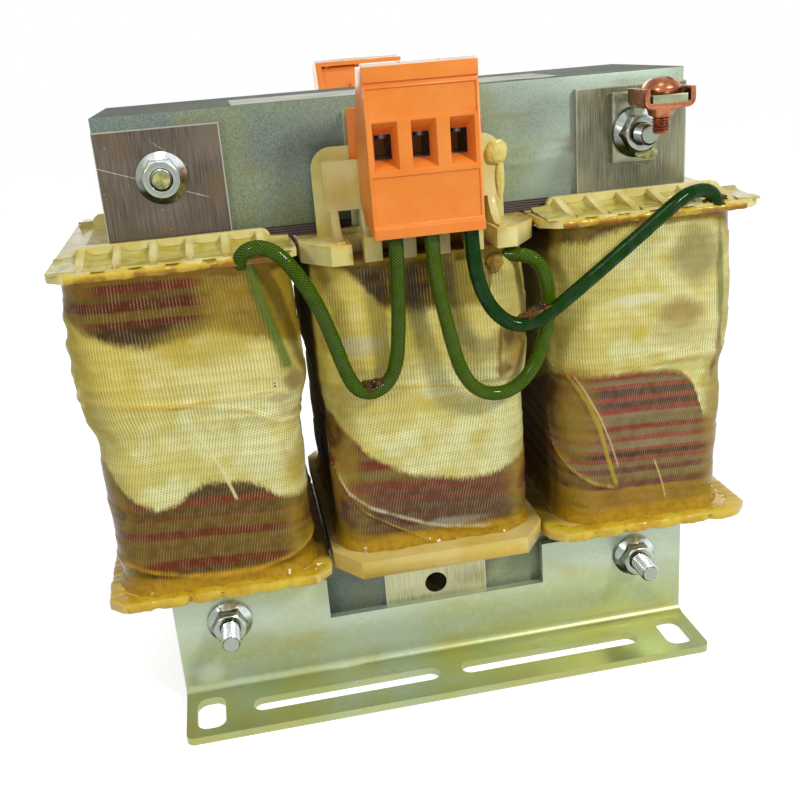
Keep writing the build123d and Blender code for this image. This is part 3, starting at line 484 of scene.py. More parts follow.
coilPlans = {
    "left": {
        "centre": -68.0, "base": 46.8, "top": 143.2, "yellowTop": 0.35, "wetTint": (0.9, 0.84, 0.36, 1),
        "sideBuild": (7.9, 8.9, 9.2, 8.8, 11.0, 11.9, 11.2, 10.2),
        "wetTop": [(-140, 132), (-110, 134), (-70, 138), (-45, 136), (-30, 133), (-24, 129), (-15, 124.5),
                   (-8, 123), (0, 124), (5, 126), (15, 122.5), (22, 121.5), (30, 119), (45, 124), (70, 134),
                   (100, 131), (140, 132)],
        "wetBottom": [(-140, 72), (-105, 76), (-70, 70), (-45, 82), (-31, 90), (-27, 87), (-22.5, 80),
                      (-19, 76.5), (-14, 74), (-9, 75), (-5, 78), (0, 80), (6, 79.5), (12, 78), (15, 76.5),
                      (18, 74), (20, 73), (22, 72), (26, 71), (34, 72), (50, 76), (70, 74), (100, 70), (140, 72)],
        "topStripes": [(120, "tapeOlive"), (123, "tapeBrown"), (125.6, "shadowMid"), (128.6, "shadowMid"),
                       (129.2, "enamelDark"), (130.4, "enamelDark"), (131, "tapeOlive"), (133, "tapeOlive"),
                       (133.6, "enamelDark"), (135.8, "enamelDark"), (136.5, "tapeBrown"), (138, "tapeBrown"),
                       (138.6, "enamelDeep"), (140.3, "enamelDeep"), (141.2, "amberMid"), (144, "amberBright")],
        "bottomStripes": [(46, "amberBright"), (50.2, "amberMid"), (51.4, "tapeDark"), (53, "tapeDark"),
                          (53.8, "enamelDeep"), (55.8, "enamelDeep"), (56.6, "tapeOlive"), (62.6, "tapeOlive"),
                          (63.4, "enamelDeep"), (65.2, "enamelDeep"), (66, "tapeOlive"), (69.2, "tapeOlive"),
                          (69.7, "enamelMid"), (70.3, "tapeBrown"), (71, "tapeBrown"), (73, "tapeBrown"),
                          (73.5, "enamelMid"), (75.2, "enamelMid"), (76.2, "shadowLight"), (82, "tapeBrown")],
        "tilt": 0.07,
        "lines": [
            {"points": [(-34, 109), (-25, 108.5), (-20, 108), (-10, 106), (0, 104), (10, 102), (15, 100),
                        (20, 96.7), (27, 95), (34, 96)], "width": 1.0, "colour": tone(214, 170, 44), "rise": 0.55},
            {"points": [(-6, 105), (0, 105.2), (12, 105.8), (22, 106)], "width": 0.8,
             "colour": tone(206, 176, 62), "rise": 0.5},
            {"points": [(-40, 57.5), (-26, 56.6), (-10, 51.5), (0, 50), (12, 50.2), (22, 53), (34, 57)],
             "width": 1.6, "colour": tone(206, 158, 40), "rise": 0.7},
        ],
        "steeps": [
            {"points": [(112.5, 23.4), (119, 22.2), (125, 21), (133, 19.2), (144, 17.9)], "width": 3.0,
             "colour": tone(84, 108, 36), "rise": 1.5},
            {"points": [(74, 7.6), (84, 4.6), (90, 2), (96, -1.2)], "width": 0.9, "colour": tone(226, 214, 150),
             "rise": 0.3},
        ],
        "patches": [
            {"centre": (25, 108.6), "size": (3.2, 3.6), "colour": tone(104, 82, 52), "rise": 0.9},
            {"centre": (20.8, 103.6), "size": (3.6, 1.7), "colour": tone(168, 150, 112), "rise": 0.2},
            {"centre": (4, 122), "size": (14, 7), "colour": tone(176, 154, 52), "share": 0.6},
        ],
        "lumps": [(27.5, 108.6, 5, 5, 2.0), (24, 101, 6, 4, 0.8), (-34, 132, 8, 2.2, 0.7), (-34, 124, 8, 2.2, 0.6),
                  (-34, 116.5, 8, 2.2, 0.6)],
    },
    "centre": {
        "centre": 0.0, "base": 49.8, "top": 140.2, "yellowTop": 0.5, "wetTint": (1.0, 1.08, 0.85, 1),
        "sideBuild": (8.6, 9.6, 9.8, 9.6, 11.1, 11.4, 10.9, 10.2),
        "wetTop": [(-140, 128), (-100, 131), (-60, 134), (-36, 141), (-24, 141), (-20, 138), (-15.5, 133),
                   (-11, 126.5), (-5, 125), (8, 124), (14, 124), (16.5, 128), (18, 136), (26, 138), (50, 132),
                   (80, 128), (110, 130), (140, 128)],
        "wetBottom": [(-140, 74), (-100, 78), (-60, 82), (-40, 96), (-30, 94), (-26, 90), (-22, 86), (-19, 81.5),
                      (-15, 78), (-12, 76), (-8, 74), (-5, 73), (0, 71.5), (5, 69.5), (10, 69), (15, 70),
                      (18, 71), (24, 73), (40, 78), (70, 72), (110, 76), (140, 74)],
        "topStripes": [(118, "tapeMid"), (124, "tapeOlive"), (127, "tapeDark"), (131, "shadowMid"), (133, "tapeDark"),
                       (135, "shadowMid"), (138, "tapeOlive"), (141, "amberMid")],
        "bottomStripes": [(48, "amberBright"), (52, "amberMid"), (54, "tapeBrown"), (56, "tapeDeep"),
                          (57.5, "shadowLight"), (59, "tapeDeep"), (60.3, "shadowLight"), (62, "tapeDeep"),
                          (63, "shadowLight"), (65, "enamelMid"), (66.2, "shadowLight"), (67.6, "enamelMid"),
                          (69, "tapeDeep"), (70.4, "enamelMid"), (72, "tapeOlive"), (74, "tapeOlive"),
                          (75.5, "enamelDeep"), (77.4, "enamelDeep"), (79, "tapeOlive"), (81, "enamelDark"),
                          (83, "enamelDark"), (85, "tapeDark"), (87, "enamelDark"), (90, "tapeDark")],
        "tilt": 0.1,
        "lines": [
            {"points": [(-33, 106), (-24, 104.5), (-12, 103), (-4, 101.5), (5, 100), (24, 101)], "width": 1.0,
             "colour": tone(216, 176, 52), "rise": 0.5},
            {"points": [(-26, 97), (-14, 96), (-4, 95.5), (6, 96.8), (22, 98)], "width": 1.0,
             "colour": tone(222, 196, 84), "rise": 0.3},
            # a resin fold line, painted in a pale highlight colour for the glints along it
            {"points": [(-29, 78), (-25, 70), (-20, 65), (-10, 59.5), (-3, 56), (2, 54.5), (8, 53.4), (16, 52.6)],
             "width": 1.3, "colour": tone(218, 208, 160), "rise": 0.9},
            {"points": [(-32, 82), (-28, 74), (-22, 64), (-15, 58.6), (-8, 53.6), (-3, 50)], "width": 0.7,
             "colour": tone(200, 160, 56), "rise": 0.8},
        ],
        "steeps": [
            {"points": [(101, 18.4), (108, 17.6), (114, 18.2), (121, 19.4)], "width": 1.1,
             "colour": tone(150, 112, 50), "rise": 0.5},
        ],
        "patches": [
            {"centre": (22.5, 109), "size": (4.4, 9), "colour": tone(160, 118, 40), "rise": 0.8},
            {"centre": (20.6, 114), "size": (2.0, 3.2), "colour": tone(96, 74, 36), "rise": 0.8},
            {"centre": (19.2, 103.6), "size": (2.6, 2.8), "colour": tone(92, 58, 22), "rise": 0.6},
            # painted reflection: pale band across the upper tape
            {"centre": (-18, 116), "size": (8, 3.4), "colour": tone(196, 188, 152), "rise": 0.0},
            # painted highlight: pale streak low on the front
            {"centre": (3, 55.6), "size": (12, 1.8), "colour": tone(196, 188, 164), "share": 0.35},
            {"centre": (21, 134), "size": (3.6, 4), "colour": tone(196, 180, 96), "rise": 1.0},
        ],
        "lumps": [(22.5, 108, 5, 9, 0.9), (21.5, 134, 4, 4.5, 1.6), (-28, 70, 9, 16, 1.4)],
    },
    "right": {
        "centre": 68.0, "base": 46.8, "top": 143.2, "yellowTop": 0.12, "wetTint": (1.12, 1.15, 0.95, 1),
        "sideBuild": (4.9, 5.9, 6.6, 6.4, 8.0, 8.3, 8.0, 7.2),
        "wetTop": [(-140, 134), (-100, 130), (-60, 132), (-40, 134), (-30, 137), (-14, 139.5), (-8, 142), (10, 142),
                   (20, 140), (40, 130), (80, 132), (140, 134)],
        "wetBottom": [(-140, 84), (-100, 88), (-60, 86), (-36, 96), (-28, 97.6), (-20, 97), (-8, 96.4), (4, 96),
                      (10, 95), (14, 93), (17, 88), (19.5, 80), (24, 78), (40, 84), (80, 78), (140, 84)],
        "topStripes": [(128, "tapeMid"), (136, "tapeBrown"), (138, "shadowMid"), (140, "tapeBrown"), (144, "amberMid")],
        "bottomStripes": [(46, "amberBright"), (51, "amberMid"), (54.5, "amberMid"), (57.4, "amberMid"),
                          (58, "tapeDeep"), (59.6, "tapeDeep"), (60.4, "tapeOlive"), (62.4, "tapeMid"),
                          (63, "tapeDeep"), (64.4, "tapeDeep"), (65, "tapeMid"), (66.4, "tapeMid"),
                          (66.8, "enamelBright"), (67.9, "enamelBright"), (68.4, "shadowMid"), (69.6, "shadowMid"),
                          (70, "enamelBright"), (70.8, "enamelBright"), (71.3, "tapeLight"), (73.2, "tapeLight"),
                          (73.7, "enamelBright"), (74.8, "enamelBright"), (75.3, "tapeMid"), (76.8, "tapeMid"),
                          (77.2, "enamelBright"), (78.4, "enamelMid"), (79.2, "tapeMid"), (81, "tapeMid")],
        "upperStripes": [(81, "tapeMid"), (82.6, "tapeLight"), (83.3, "enamelBright"), (84.6, "enamelBright"),
                         (85.2, "shadowLight"), (86.6, "shadowLight"), (87, "enamelBright"), (88.2, "enamelBright"),
                         (88.8, "shadowLight"), (90.6, "shadowLight"), (91, "enamelBright"), (92, "enamelBright"),
                         (92.5, "tapeLight"), (93.8, "tapeMid"), (94.2, "enamelBright"), (95.4, "enamelDeep"),
                         (97, "amberBright"), (100, "amberBright")],
        "tilt": 0.035,
        "lines": [
            {"points": [(-36, 101), (-28, 100), (-15, 98.6), (0, 98.2), (10, 99.2), (22, 100)], "width": 1.3,
             "colour": tone(210, 168, 44), "rise": 0.7},
            {"points": [(-34, 104), (-20, 101), (-6, 100.6), (4, 101.6), (12, 103)], "width": 0.9,
             "colour": tone(206, 186, 84), "rise": 0.3},
            {"points": [(-38, 84), (-33, 72), (-27, 65.6), (-20, 61), (-12, 58.8)], "width": 1.4,
             "colour": tone(206, 174, 84), "rise": 0.9},
            {"points": [(-26, 96.4), (-10, 96), (4, 95.8), (11, 94.6), (15, 91.6), (17.5, 87), (19, 81)],
             "width": 1.0, "colour": tone(168, 124, 40), "rise": 0.5},
        ],
        "steeps": [
            {"points": [(60, -12.6), (70, -15.8), (80, -18.4), (88, -21.5), (98.4, -28.4)], "width": 1.5,
             "colour": tone(176, 152, 44), "rise": 0.7},
            {"points": [(66, -11.6), (76, -15), (84, -18.4), (90, -21.4), (97, -25.4)], "width": 0.7,
             "colour": tone(196, 168, 120), "rise": 0.6},
            {"points": [(52, 7.4), (62, 4), (66, 2.4)], "width": 0.6, "colour": tone(214, 184, 110), "rise": 0.4},
        ],
        "patches": [
            {"centre": (14, 131), "size": (9, 10), "colour": tone(116, 108, 56)},
            {"centre": (25, 84), "size": (6, 18), "colour": tone(150, 122, 40)},
            {"centre": (-24, 84), "size": (7, 16), "colour": tone(140, 112, 34), "share": 0.6},
            {"centre": (9, 114), "size": (8, 5.5), "colour": tone(136, 108, 54)},
            # painted highlight: pale sheen band across the upper tape
            {"centre": (-5, 119.5), "size": (10, 1.8), "colour": tone(230, 230, 198), "share": 0.6},
            {"centre": (9, 107.5), "size": (10, 5), "colour": tone(186, 174, 104), "share": 0.6},
            {"centre": (-3.4, 109), "size": (3, 2.2), "colour": tone(208, 184, 50), "rise": 0.2},
            {"centre": (22.4, 123), "size": (1.8, 19), "colour": tone(74, 96, 42), "rise": 0.2},
            {"centre": (22.6, 100), "size": (1.6, 9), "colour": tone(112, 60, 44), "rise": 0.2},
        ],
        "lumps": [(22.5, 98, 4, 5, 1.0), (-32, 78, 8, 16, 1.2)],
    },
}


def rimPoints(across, leftWidth, rightWidth, halfDepth, corner):
    # point and outward direction on the coil's outline, for a place measured round it from the front
    straight = rim["halfWidth"] - rim["corner"]
    arc = rim["corner"] * math.pi / 2
    side = 2 * (rim["halfDepth"] - rim["corner"])
    sign = np.where(across < 0, -1.0, 1.0)
    run = np.abs(across)
    width = np.where(across < 0, leftWidth, rightWidth)
    angleFront = np.clip((run - straight) / arc, 0, 1) * math.pi / 2
    sideShare = np.clip((run - straight - arc) / side, 0, 1)
    angleBack = np.clip((run - straight - arc - side) / arc, 0, 1) * math.pi / 2
    backShare = np.clip((run - straight - 2 * arc - side) / straight, 0, 1)
    frontShare = np.clip(run / straight, 0, 1)
    x = (width - corner) * frontShare + corner * np.sin(angleFront)
    x = x - corner * (1 - np.cos(angleBack)) - (width - corner) * backShare
    y = -halfDepth + corner * (1 - np.cos(angleFront)) + 2 * (halfDepth - corner) * sideShare
    y = y + corner * np.sin(angleBack)
    outX = np.where(angleBack > 0, np.cos(angleBack), np.sin(angleFront))
    outY = np.where(angleBack > 0, np.sin(angleBack), -np.cos(angleFront))
    return sign * x, y, sign * outX, outY


rimLength = 4 * (rim["halfWidth"] + rim["halfDepth"]) - (8 - 2 * math.pi) * rim["corner"]


def bell(value):
    return np.exp(-value * value)


def wrapMesh(name, plan):
    height = plan["top"] - plan["base"]
    columns = int(rimLength / rim["columnStep"])
    rows = int(height / rim["rowStep"])
    across = np.linspace(-rimLength / 2, rimLength / 2, columns, endpoint=False)[None, :]
    share = np.linspace(0, 1, rows)[:, None]
    level = plan["base"] + share * height
    smooth = np.linspace(-0.03, 0.03, 9)
    sideBuild = sum(np.interp(share + s, buildShares, plan["sideBuild"]) for s in smooth) / len(smooth)
    face = sum(np.interp(share + s, buildShares, faceBuild) for s in smooth) / len(smooth)
    halfWidth = coilCore["halfWidth"] + sideBuild + coilCore["tape"]
    halfDepth = coilCore["halfDepth"] + face + coilCore["tape"]
    halfWidth = np.broadcast_to(halfWidth, (rows, columns))
    x, y, outX, outY = rimPoints(np.broadcast_to(across, (rows, columns)), halfWidth, halfWidth,
                                 np.broadcast_to(halfDepth, (rows, columns)), rim["corner"])
    u = np.broadcast_to(across, (rows, columns))
    v = np.broadcast_to(level, (rows, columns))
    points = np.stack([x, y, v], -1)
    seed = plan["centre"] * 0.37
    push = 0.5 * fieldNoise(points, 17.0, seed) + 0.22 * fieldNoise(points, 5.5, seed + 9)
    flatX = np.clip(1 - np.abs(outX * outY) * 4, 0, 1)
    push -= 0.5 * flatX * bell((np.minimum(np.abs(x), np.abs(y)) - 0) / 14.0)
    turnEdges = (v + 0.045 * u + 3 * fieldNoise(points, 40.0, seed + 4)) / 12.5
    push += 0.28 * (turnEdges - np.floor(turnEdges) - 0.5)
    for line in plan["lines"]:
        at, heights = zip(*line["points"])
        inside = np.clip((u - at[0] + 3) / 3, 0, 1) * np.clip((at[-1] + 3 - u) / 3, 0, 1)
        push += line["rise"] * bell((v - np.interp(u, at, heights)) / line["width"]) * inside
    for line in plan["steeps"]:
        at, places = zip(*line["points"])
        inside = np.clip((v - at[0] + 1.5) / 3, 0, 1) * np.clip((at[-1] + 1.5 - v) / 3, 0, 1)
        push += line["rise"] * bell((u - np.interp(v, at, places)) / (line["width"] * 0.6)) * inside
    for uAt, vAt, uSize, vSize, rise in plan["lumps"]:
        push += rise * bell(np.hypot((u - uAt) / uSize, (v - vAt) / vSize))
    fromBase = v - plan["base"]
    fromTop = plan["top"] - v
    ragged = 1 + 0.5 * fieldNoise(points, 6.0, seed + 2)
    push += 2.0 * ragged * np.clip(1 - fromBase / 5.5, 0, 1) ** 2
    push += 0.8 * ragged * np.clip(1 - fromTop / 2.2, 0, 1) ** 2
    x = x + outX * push + plan["centre"]
    y = y + outY * push
    shell = np.stack([x, y, v], -1)
    tuck = 2.6
    lowEdge = np.stack([x[0] - outX[0] * tuck, y[0] - outY[0] * tuck, v[0]], -1)[None]
    highEdge = np.stack([x[-1] - outX[-1] * tuck, y[-1] - outY[-1] * tuck, v[-1]], -1)[None]
    shell = np.concatenate([lowEdge, shell, highEdge], 0)
    mesh = gridMesh(name, shell, loopU=True)
    places = np.stack([u, v], -1)
    places = np.concatenate([places[:1], places, places[-1:]], 0)
    cornerPlaces(mesh, "wrapPlace", places, columns, rimLength)
    return mesh


def sharpEnds(piece, angle=55):
    piece.data.set_sharp_from_angle(angle=math.radians(angle))


def wrapFinish(name, plan):
    finish = Finish(name, Coat_Roughness=0.1, Coat_IOR=1.26, Specular_IOR_Level=0.03)
    place = finish.node("Attribute", {"attribute_name": "wrapPlace"}, None, "Vector")
    u, v, _ = finish.parts(place)
    flat = finish.join(u, v)
    # a place across that comes back on itself behind the coil, so that nothing jumps there
    around = (u * (2 * math.pi / rimLength)).sum("SINE") * (rimLength / (2 * math.pi))
    cloud = finish.noise(0.11, 3.0)
    fine = finish.noise(0.55, 3.0)
    wobble = (cloud - 0.5) * 5 + (fine - 0.5) * 2.2

    # woven threads: upright ones a little under a millimetre apart, crossed by finer ones
    lean = finish.spread(v, 96, 102, -0.22, 0.02)
    column = (u + (v - 99) * lean) / (rimLength / round(rimLength / 0.82))
    uprights = finish.ripple(column, 1.0)
    step = column.sum("FLOOR") * 0.5
    crossings = finish.ripple(v / 0.78 + step, 1.0)
    holes = (1 - uprights) * (0.45 + (1 - crossings) * 0.55)
    threads = 1 - holes

    # dry tape: tan and pale stretches, a little darker where rows of wire press through
    rows = finish.ripple(v + around * 0.05 + wobble * 0.3, 2.9)
    pale = finish.spread(cloud + around * 0.006, 0.38, 0.62)
    tape = finish.mix(pale, tone(214, 204, 120), tone(230, 229, 168))
    tape = finish.mix(finish.spread(rows, 0.55, 1.0, 0.0, 0.16), tape, tone(176, 158, 80))
    tape = finish.mix(finish.spread(holes, 0.3, 0.95, 0.0, 0.75), tape, tone(128, 112, 48))
    yellowing = finish.spread(finish.noise(0.045, 2.0), 0.54, 0.72, 0.0, 0.55)
    tape = finish.mix(yellowing, tape, tone(206, 184, 66))
    tape = finish.mix(finish.spread(v, 100, 112, 0.0, plan["yellowTop"]), tape, tone(202, 176, 56))

    # wetted tape: the wires and the varnish show through it
    def stripes(height, kind):
        return finish.ramp(height + (fine - 0.5) * 0.4, [(at, stripeTones[shade]) for at, shade in plan[kind]])

    tilted = v + around * plan["tilt"]
    wires = stripes(tilted, "bottomStripes")
    if "upperStripes" in plan:
        upper = stripes(tilted, "upperStripes")
        wires = finish.mix(finish.spread(tilted, 80.9, 81.1), wires, upper)
    topWires = stripes(v + around * 0.03, "topStripes")
    plain = finish.spread(around + wobble, 2, 9) * finish.spread(v, 110, 112)
    topWires = finish.mix(plain * 0.85, topWires, tone(158, 136, 56))
    wet = finish.mix(finish.spread(v, 104, 106), wires, topWires)
    dotted = finish.spread(around + wobble * 2, -12, 16, 0.2, 1.0) * finish.spread(threads, 0.5, 1.0, 0.0, 0.26)
    wet = finish.mix(dotted, wet, tone(140, 112, 44))
    wet = finish.mix(finish.spread(cloud, 0.4, 0.7, 0.0, 0.3), wet, tone(92, 68, 12))
    wet = finish.mix(1.0, wet, plan["wetTint"], "MULTIPLY")
    glint = finish.spread(uprights, 0.72, 0.98) * finish.spread(crossings, 0.3, 0.8, 0.35, 1.0)
    glint = glint * finish.spread(finish.noise(0.3, 3.0, place=flat), 0.36, 0.62)
    wet = finish.mix(glint * 0.4, wet, tone(206, 196, 150))

    torn = v + wobble * 0.6 + (finish.noise(1.3, 2.0, (1, 0.3, 1), place=flat) - 0.5) * 2.6
    above = finish.spread(torn - finish.along(u, plan["wetTop"]), -1.9, 1.4)
    below = finish.spread(torn - finish.along(u, plan["wetBottom"]), 1.3, -1.2)
    wetted = above.sum("MAXIMUM", below)
    colour = finish.mix(wetted, tape, wet)

    # amber where the resin pooled on the corners and at both ends
    corner = finish.band(abs(u), 27, 5.5, 3.5) * 0.55
    ends = finish.spread(v, plan["base"] + 5.5, plan["base"] + 2.5)
    ends = ends.sum("MAXIMUM", finish.spread(v, plan["top"] - 2.5, plan["top"] - 0.5))
    amber = finish.mix(finish.spread(fine, 0.35, 0.7), tone(176, 138, 24), tone(158, 118, 14))
    colour = finish.mix(corner * finish.spread(cloud, 0.35, 0.6), colour, tone(160, 134, 36))
    colour = finish.mix(ends * 0.9, colour, amber)

    for patch in plan["patches"]:
        (uAt, vAt), (uSize, vSize) = patch["centre"], patch["size"]
        reach = abs((u - uAt) / uSize) ** 1.5 + abs((v - vAt) / vSize) ** 1.5 + (torn - v) * 0.16
        share = finish.spread(reach, 1.4, 0.3, 0.0, patch.get("share", 0.75)) * (1 - holes * 0.4)
        colour = finish.mix(share, colour, patch["colour"])
    for line in plan["lines"]:
        first, last = line["points"][0][0], line["points"][-1][0]
        mask = finish.band(v - finish.along(u, line["points"]), 0.0, line["width"] * 0.4, line["width"] * 0.5)
        mask = mask * finish.spread(finish.noise(0.2, 2.0, place=flat), 0.3, 0.6, 0.25, 1.0)
        mask = mask * finish.spread(u, first, first + 3) * finish.spread(u, last, last - 3)
        mask = mask * finish.spread(threads, 0.3, 0.8, 0.55, 1.0)
        colour = finish.mix(mask * 0.85, colour, line["colour"])
    for line in plan["steeps"]:
        first, last = line["points"][0][0], line["points"][-1][0]
        mask = finish.band(u - finish.along(v, line["points"]), 0.0, line["width"] * 0.5, line["width"] * 0.3)
        mask = mask * finish.spread(v, first - 1, first + 1) * finish.spread(v, last + 1, last - 1)
        colour = finish.mix(mask * 0.85, colour, line["colour"])

    filled = finish.spread(finish.noise(0.16, 2.0), 0.5, 0.62, 0.0, 0.8)
    relief = threads * (1 - filled) + rows * 0.5 + fine * 0.5
    front = finish.spread(abs(u), 38, 30) + finish.spread(abs(u), 100, 108)
    if plan["centre"]:
        front = front + finish.spread(u * math.copysign(1, plan["centre"]), 28, 36)
    front = front.sum("MINIMUM", 1.0)
    shiny = finish.spread(wetted + filled, 0.0, 1.0, 0.15, 0.6) * front
    rough = finish.spread(wetted + filled, 0.0, 1.0, 0.5, 0.3) + finish.spread(front, 1.0, 0.0, 0.0, 0.5)
    # painted shade: the sides that face a neighbouring coil are darkened, as these gaps are in shade
    colour = finish.mix(finish.spread(front, 1.0, 0.0, 0.0, 0.55), colour, tone(88, 70, 18))
    return finish.set(Base_Color=colour, Roughness=rough, Coat_Weight=shiny, Normal=finish.bump(relief, 0.16))


for side, plan in coilPlans.items():
    name = "tapedCoil_" + side
    sharpEnds(newPiece(name, wrapMesh(name, plan), wrapFinish("glassTape_" + side, plan),
                       ["tape_wrap_" + side]))
print("coils wrapped")

# ---- finishes of the metal and plastic
def coreFinish(name):
    finish = Finish(name, Coat_Roughness=0.25, Specular_IOR_Level=0.1, Coat_IOR=1.25)
    grain = finish.noise(3.2, 2.0)
    cloud = finish.noise(0.035, 3.0, (1, 1, 1.6))
    # painted light: the core is lighter towards its right end, where more light falls
    side = finish.spread(finish.x, -50, 55)
    colour = finish.mix(side, tone(108, 122, 114), tone(160, 178, 160))
    band = finish.spread(finish.noise(0.028, 2.0, (1, 1, 0.7)), 0.5, 0.62, 0.0, 0.5)
    colour = finish.mix(band, colour, tone(136, 144, 80))
    colour = finish.mix(finish.spread(cloud, 0.45, 0.75, 0.0, 0.35), colour, tone(96, 108, 102))
    colour = finish.mix(finish.spread(grain, 0.4, 0.7, 0.0, 0.34), colour, tone(172, 182, 172))
    colour = finish.mix(finish.spread(grain, 0.45, 0.25, 0.0, 0.5), colour, tone(72, 82, 74))
    normal = finish.node("NewGeometry", None, None, "Normal")
    _, faceAlong, upward = finish.parts(normal)
    faceAlong = abs(faceAlong)
    upward = finish.spread(upward, 0.3, 0.9) * finish.spread(finish.z, 150, 160)
    sheets = finish.ripple(finish.y + (grain - 0.5) * 0.12, 0.5) * finish.spread(faceAlong, 0.6, 0.3)
    colour = finish.mix(sheets * 0.5, colour, tone(92, 98, 92))
    smear = finish.spread(finish.noise(0.12, 4.0, (0.35, 1, 1)), 0.56, 0.72, 0.0, 0.4)
    colour = finish.mix(smear, colour, tone(128, 112, 62))
    # painted shade: the yoke's top face is darker, as it gets less light from above; it is also rougher and less
    # metallic
    colour = finish.mix(upward * 0.85, colour, tone(106, 110, 102))
    height = sheets * 1.0 + grain * 0.35
    return finish.set(Base_Color=colour, Roughness=finish.spread(cloud, 0.3, 0.7, 0.36, 0.52) + upward * 0.4,
                      Metallic=(1 - upward) * 0.15, Normal=finish.bump(height, 0.05),
                      Coat_Weight=finish.spread(cloud, 0.4, 0.6, 0.15, 0.5) * (1 - upward))


def strapFinish(name, shade, scratches, box):
    finish = Finish(name, Metallic=0.7)
    brushed = finish.noise(1.0, 4.0, (3.0, 3.0, 0.08), roughness=0.65)
    patch = finish.noise(0.07, 3.0)
    colour = finish.mix(finish.spread(brushed, 0.36, 0.64), tone(*[c * 0.78 for c in shade]),
                        tone(*[c * 1.1 for c in shade]))
    colour = finish.mix(finish.spread(patch, 0.5, 0.75, 0.0, 0.5), colour, tone(112, 92, 58))
    sheen = finish.spread(finish.noise(0.04, 1.0, (1, 1, 1.6)), 0.42, 0.66, 0.0, 0.45)
    colour = finish.mix(sheen, colour, tone(*[min(c * 1.35, 215) for c in shade]))
    (low, high) = box
    # painted highlights: thin bright lines along the strap's right, top and left edges
    edgeHighlight = finish.band(finish.x, high.x, 0.3, 0.15).sum("MAXIMUM", finish.band(finish.z, high.z, 0.3, 0.15))
    edgeHighlight = edgeHighlight.sum("MAXIMUM", finish.band(finish.x, low.x, 0.2, 0.12))
    colour = finish.mix(edgeHighlight * 0.7, colour, tone(196, 196, 184))
    lines = finish.spread(finish.noise(1.1, 2.0), 0.78, 0.82, 0.0, 0.5)
    for (x0, z0), (x1, z1), width in scratches:
        slope = (z1 - z0) / (x1 - x0)
        mark = finish.band(finish.z - (finish.x - x0) * slope, z0, width, width)
        mark = mark * finish.spread(finish.x, min(x0, x1) - 0.5, min(x0, x1) + 1.5)
        mark = mark * finish.spread(finish.x, max(x0, x1) + 0.5, max(x0, x1) - 1.5)
        lines = lines.sum("MAXIMUM", mark)
    lines = lines * finish.spread(brushed, 0.3, 0.55, 0.3, 1.0)
    colour = finish.mix(lines * 0.75, colour, tone(206, 202, 180))
    specks = finish.spread(finish.noise(0.9, 2.0), 0.7, 0.76)
    colour = finish.mix(specks * 0.6, colour, tone(206, 180, 130))
    return finish.set(Base_Color=colour, Roughness=finish.spread(brushed + patch * 0.4, 0.4, 0.9, 0.26, 0.42),
                      Normal=finish.bump(brushed + lines, 0.02))


def zincFinish(name, base, varnish, metal=0.55, rough=0.3):
    finish = Finish(name, Metallic=metal, Coat_Roughness=0.14, Coat_IOR=1.3, Specular_IOR_Level=0.3)
    cloud = finish.noise(0.03, 2.0, (0.5, 1, 1.6))
    spangle = finish.noise(0.5, 3.0)
    stain = finish.noise(0.06, 3.0, (0.6, 1, 1.4))
    colour = finish.mix(finish.spread(cloud, 0.36, 0.66), base, varnish)
    colour = finish.mix(finish.spread(spangle, 0.4, 0.7, 0.0, 0.12), colour, tone(222, 230, 208))
    foot = finish.spread(finish.z, 5.5, 2.5) * finish.spread(finish.noise(0.05, 3.0, (0.5, 1, 1)), 0.3, 0.6, 0.45, 1.0)
    colour = finish.mix(foot * 0.7, colour, tone(152, 164, 84))
    fold = finish.band(finish.z, 3.0, 4.5, 4.0) * finish.spread(finish.noise(0.05, 3.0), 0.35, 0.65)
    colour = finish.mix(fold * 0.6, colour, tone(178, 172, 84))
    colour = finish.mix(finish.spread(stain, 0.6, 0.76, 0.0, 0.4), colour, tone(178, 168, 88))
    specks = finish.spread(finish.noise(0.35, 3.0), 0.76, 0.8)
    colour = finish.mix(specks * 0.7, colour, tone(132, 116, 56))
    return finish.set(Base_Color=colour, Roughness=finish.spread(cloud + spangle * 0.3, 0.3, 0.9, rough - 0.06,
                      rough + 0.12), Coat_Weight=finish.spread(stain, 0.4, 0.65, 0.2, 0.9),
                      Normal=finish.bump(spangle + stain * 2, 0.05))


def fastenerFinish(name, metal, bright, dull, axis=None):
    finish = Finish(name, Metallic=metal)
    film = finish.noise(0.3, 3.0)
    sideways, along, upward = finish.parts(finish.node("NewGeometry", None, None, "Normal"))
    # painted light and reflection: faces turned up or outward are painted near white, faces turned down dark
    outward = along * finish.spread(finish.y, -5, 5, -1.0, 1.0)
    faceLight = upward * 0.9 + sideways * 0.35 + outward * 0.45 - 0.3 + (film - 0.5) * 0.5
    colour = finish.mix(finish.spread(film, 0.45, 0.65, 0.0, 0.5), bright, dull)
    colour = finish.mix(finish.spread(faceLight, -0.08, -0.55), colour, tone(58, 62, 60))
    colour = finish.mix(finish.spread(faceLight, 0.12, 0.7, 0.0, 0.85), colour, tone(236, 242, 244))
    if axis:
        # painted shade down in the thread grooves
        radius = ((finish.x - axis[0]) ** 2 + (finish.z - axis[1]) ** 2).sum("SQRT")
        colour = finish.mix(finish.band(radius, 2.52, 0.14, 0.14) * 0.8, colour, tone(64, 60, 46))
    return finish.set(Base_Color=colour, Roughness=finish.spread(film, 0.3, 0.7, 0.14, 0.3),
                      Normal=finish.bump(finish.noise(1.5, 3.0), 0.02))


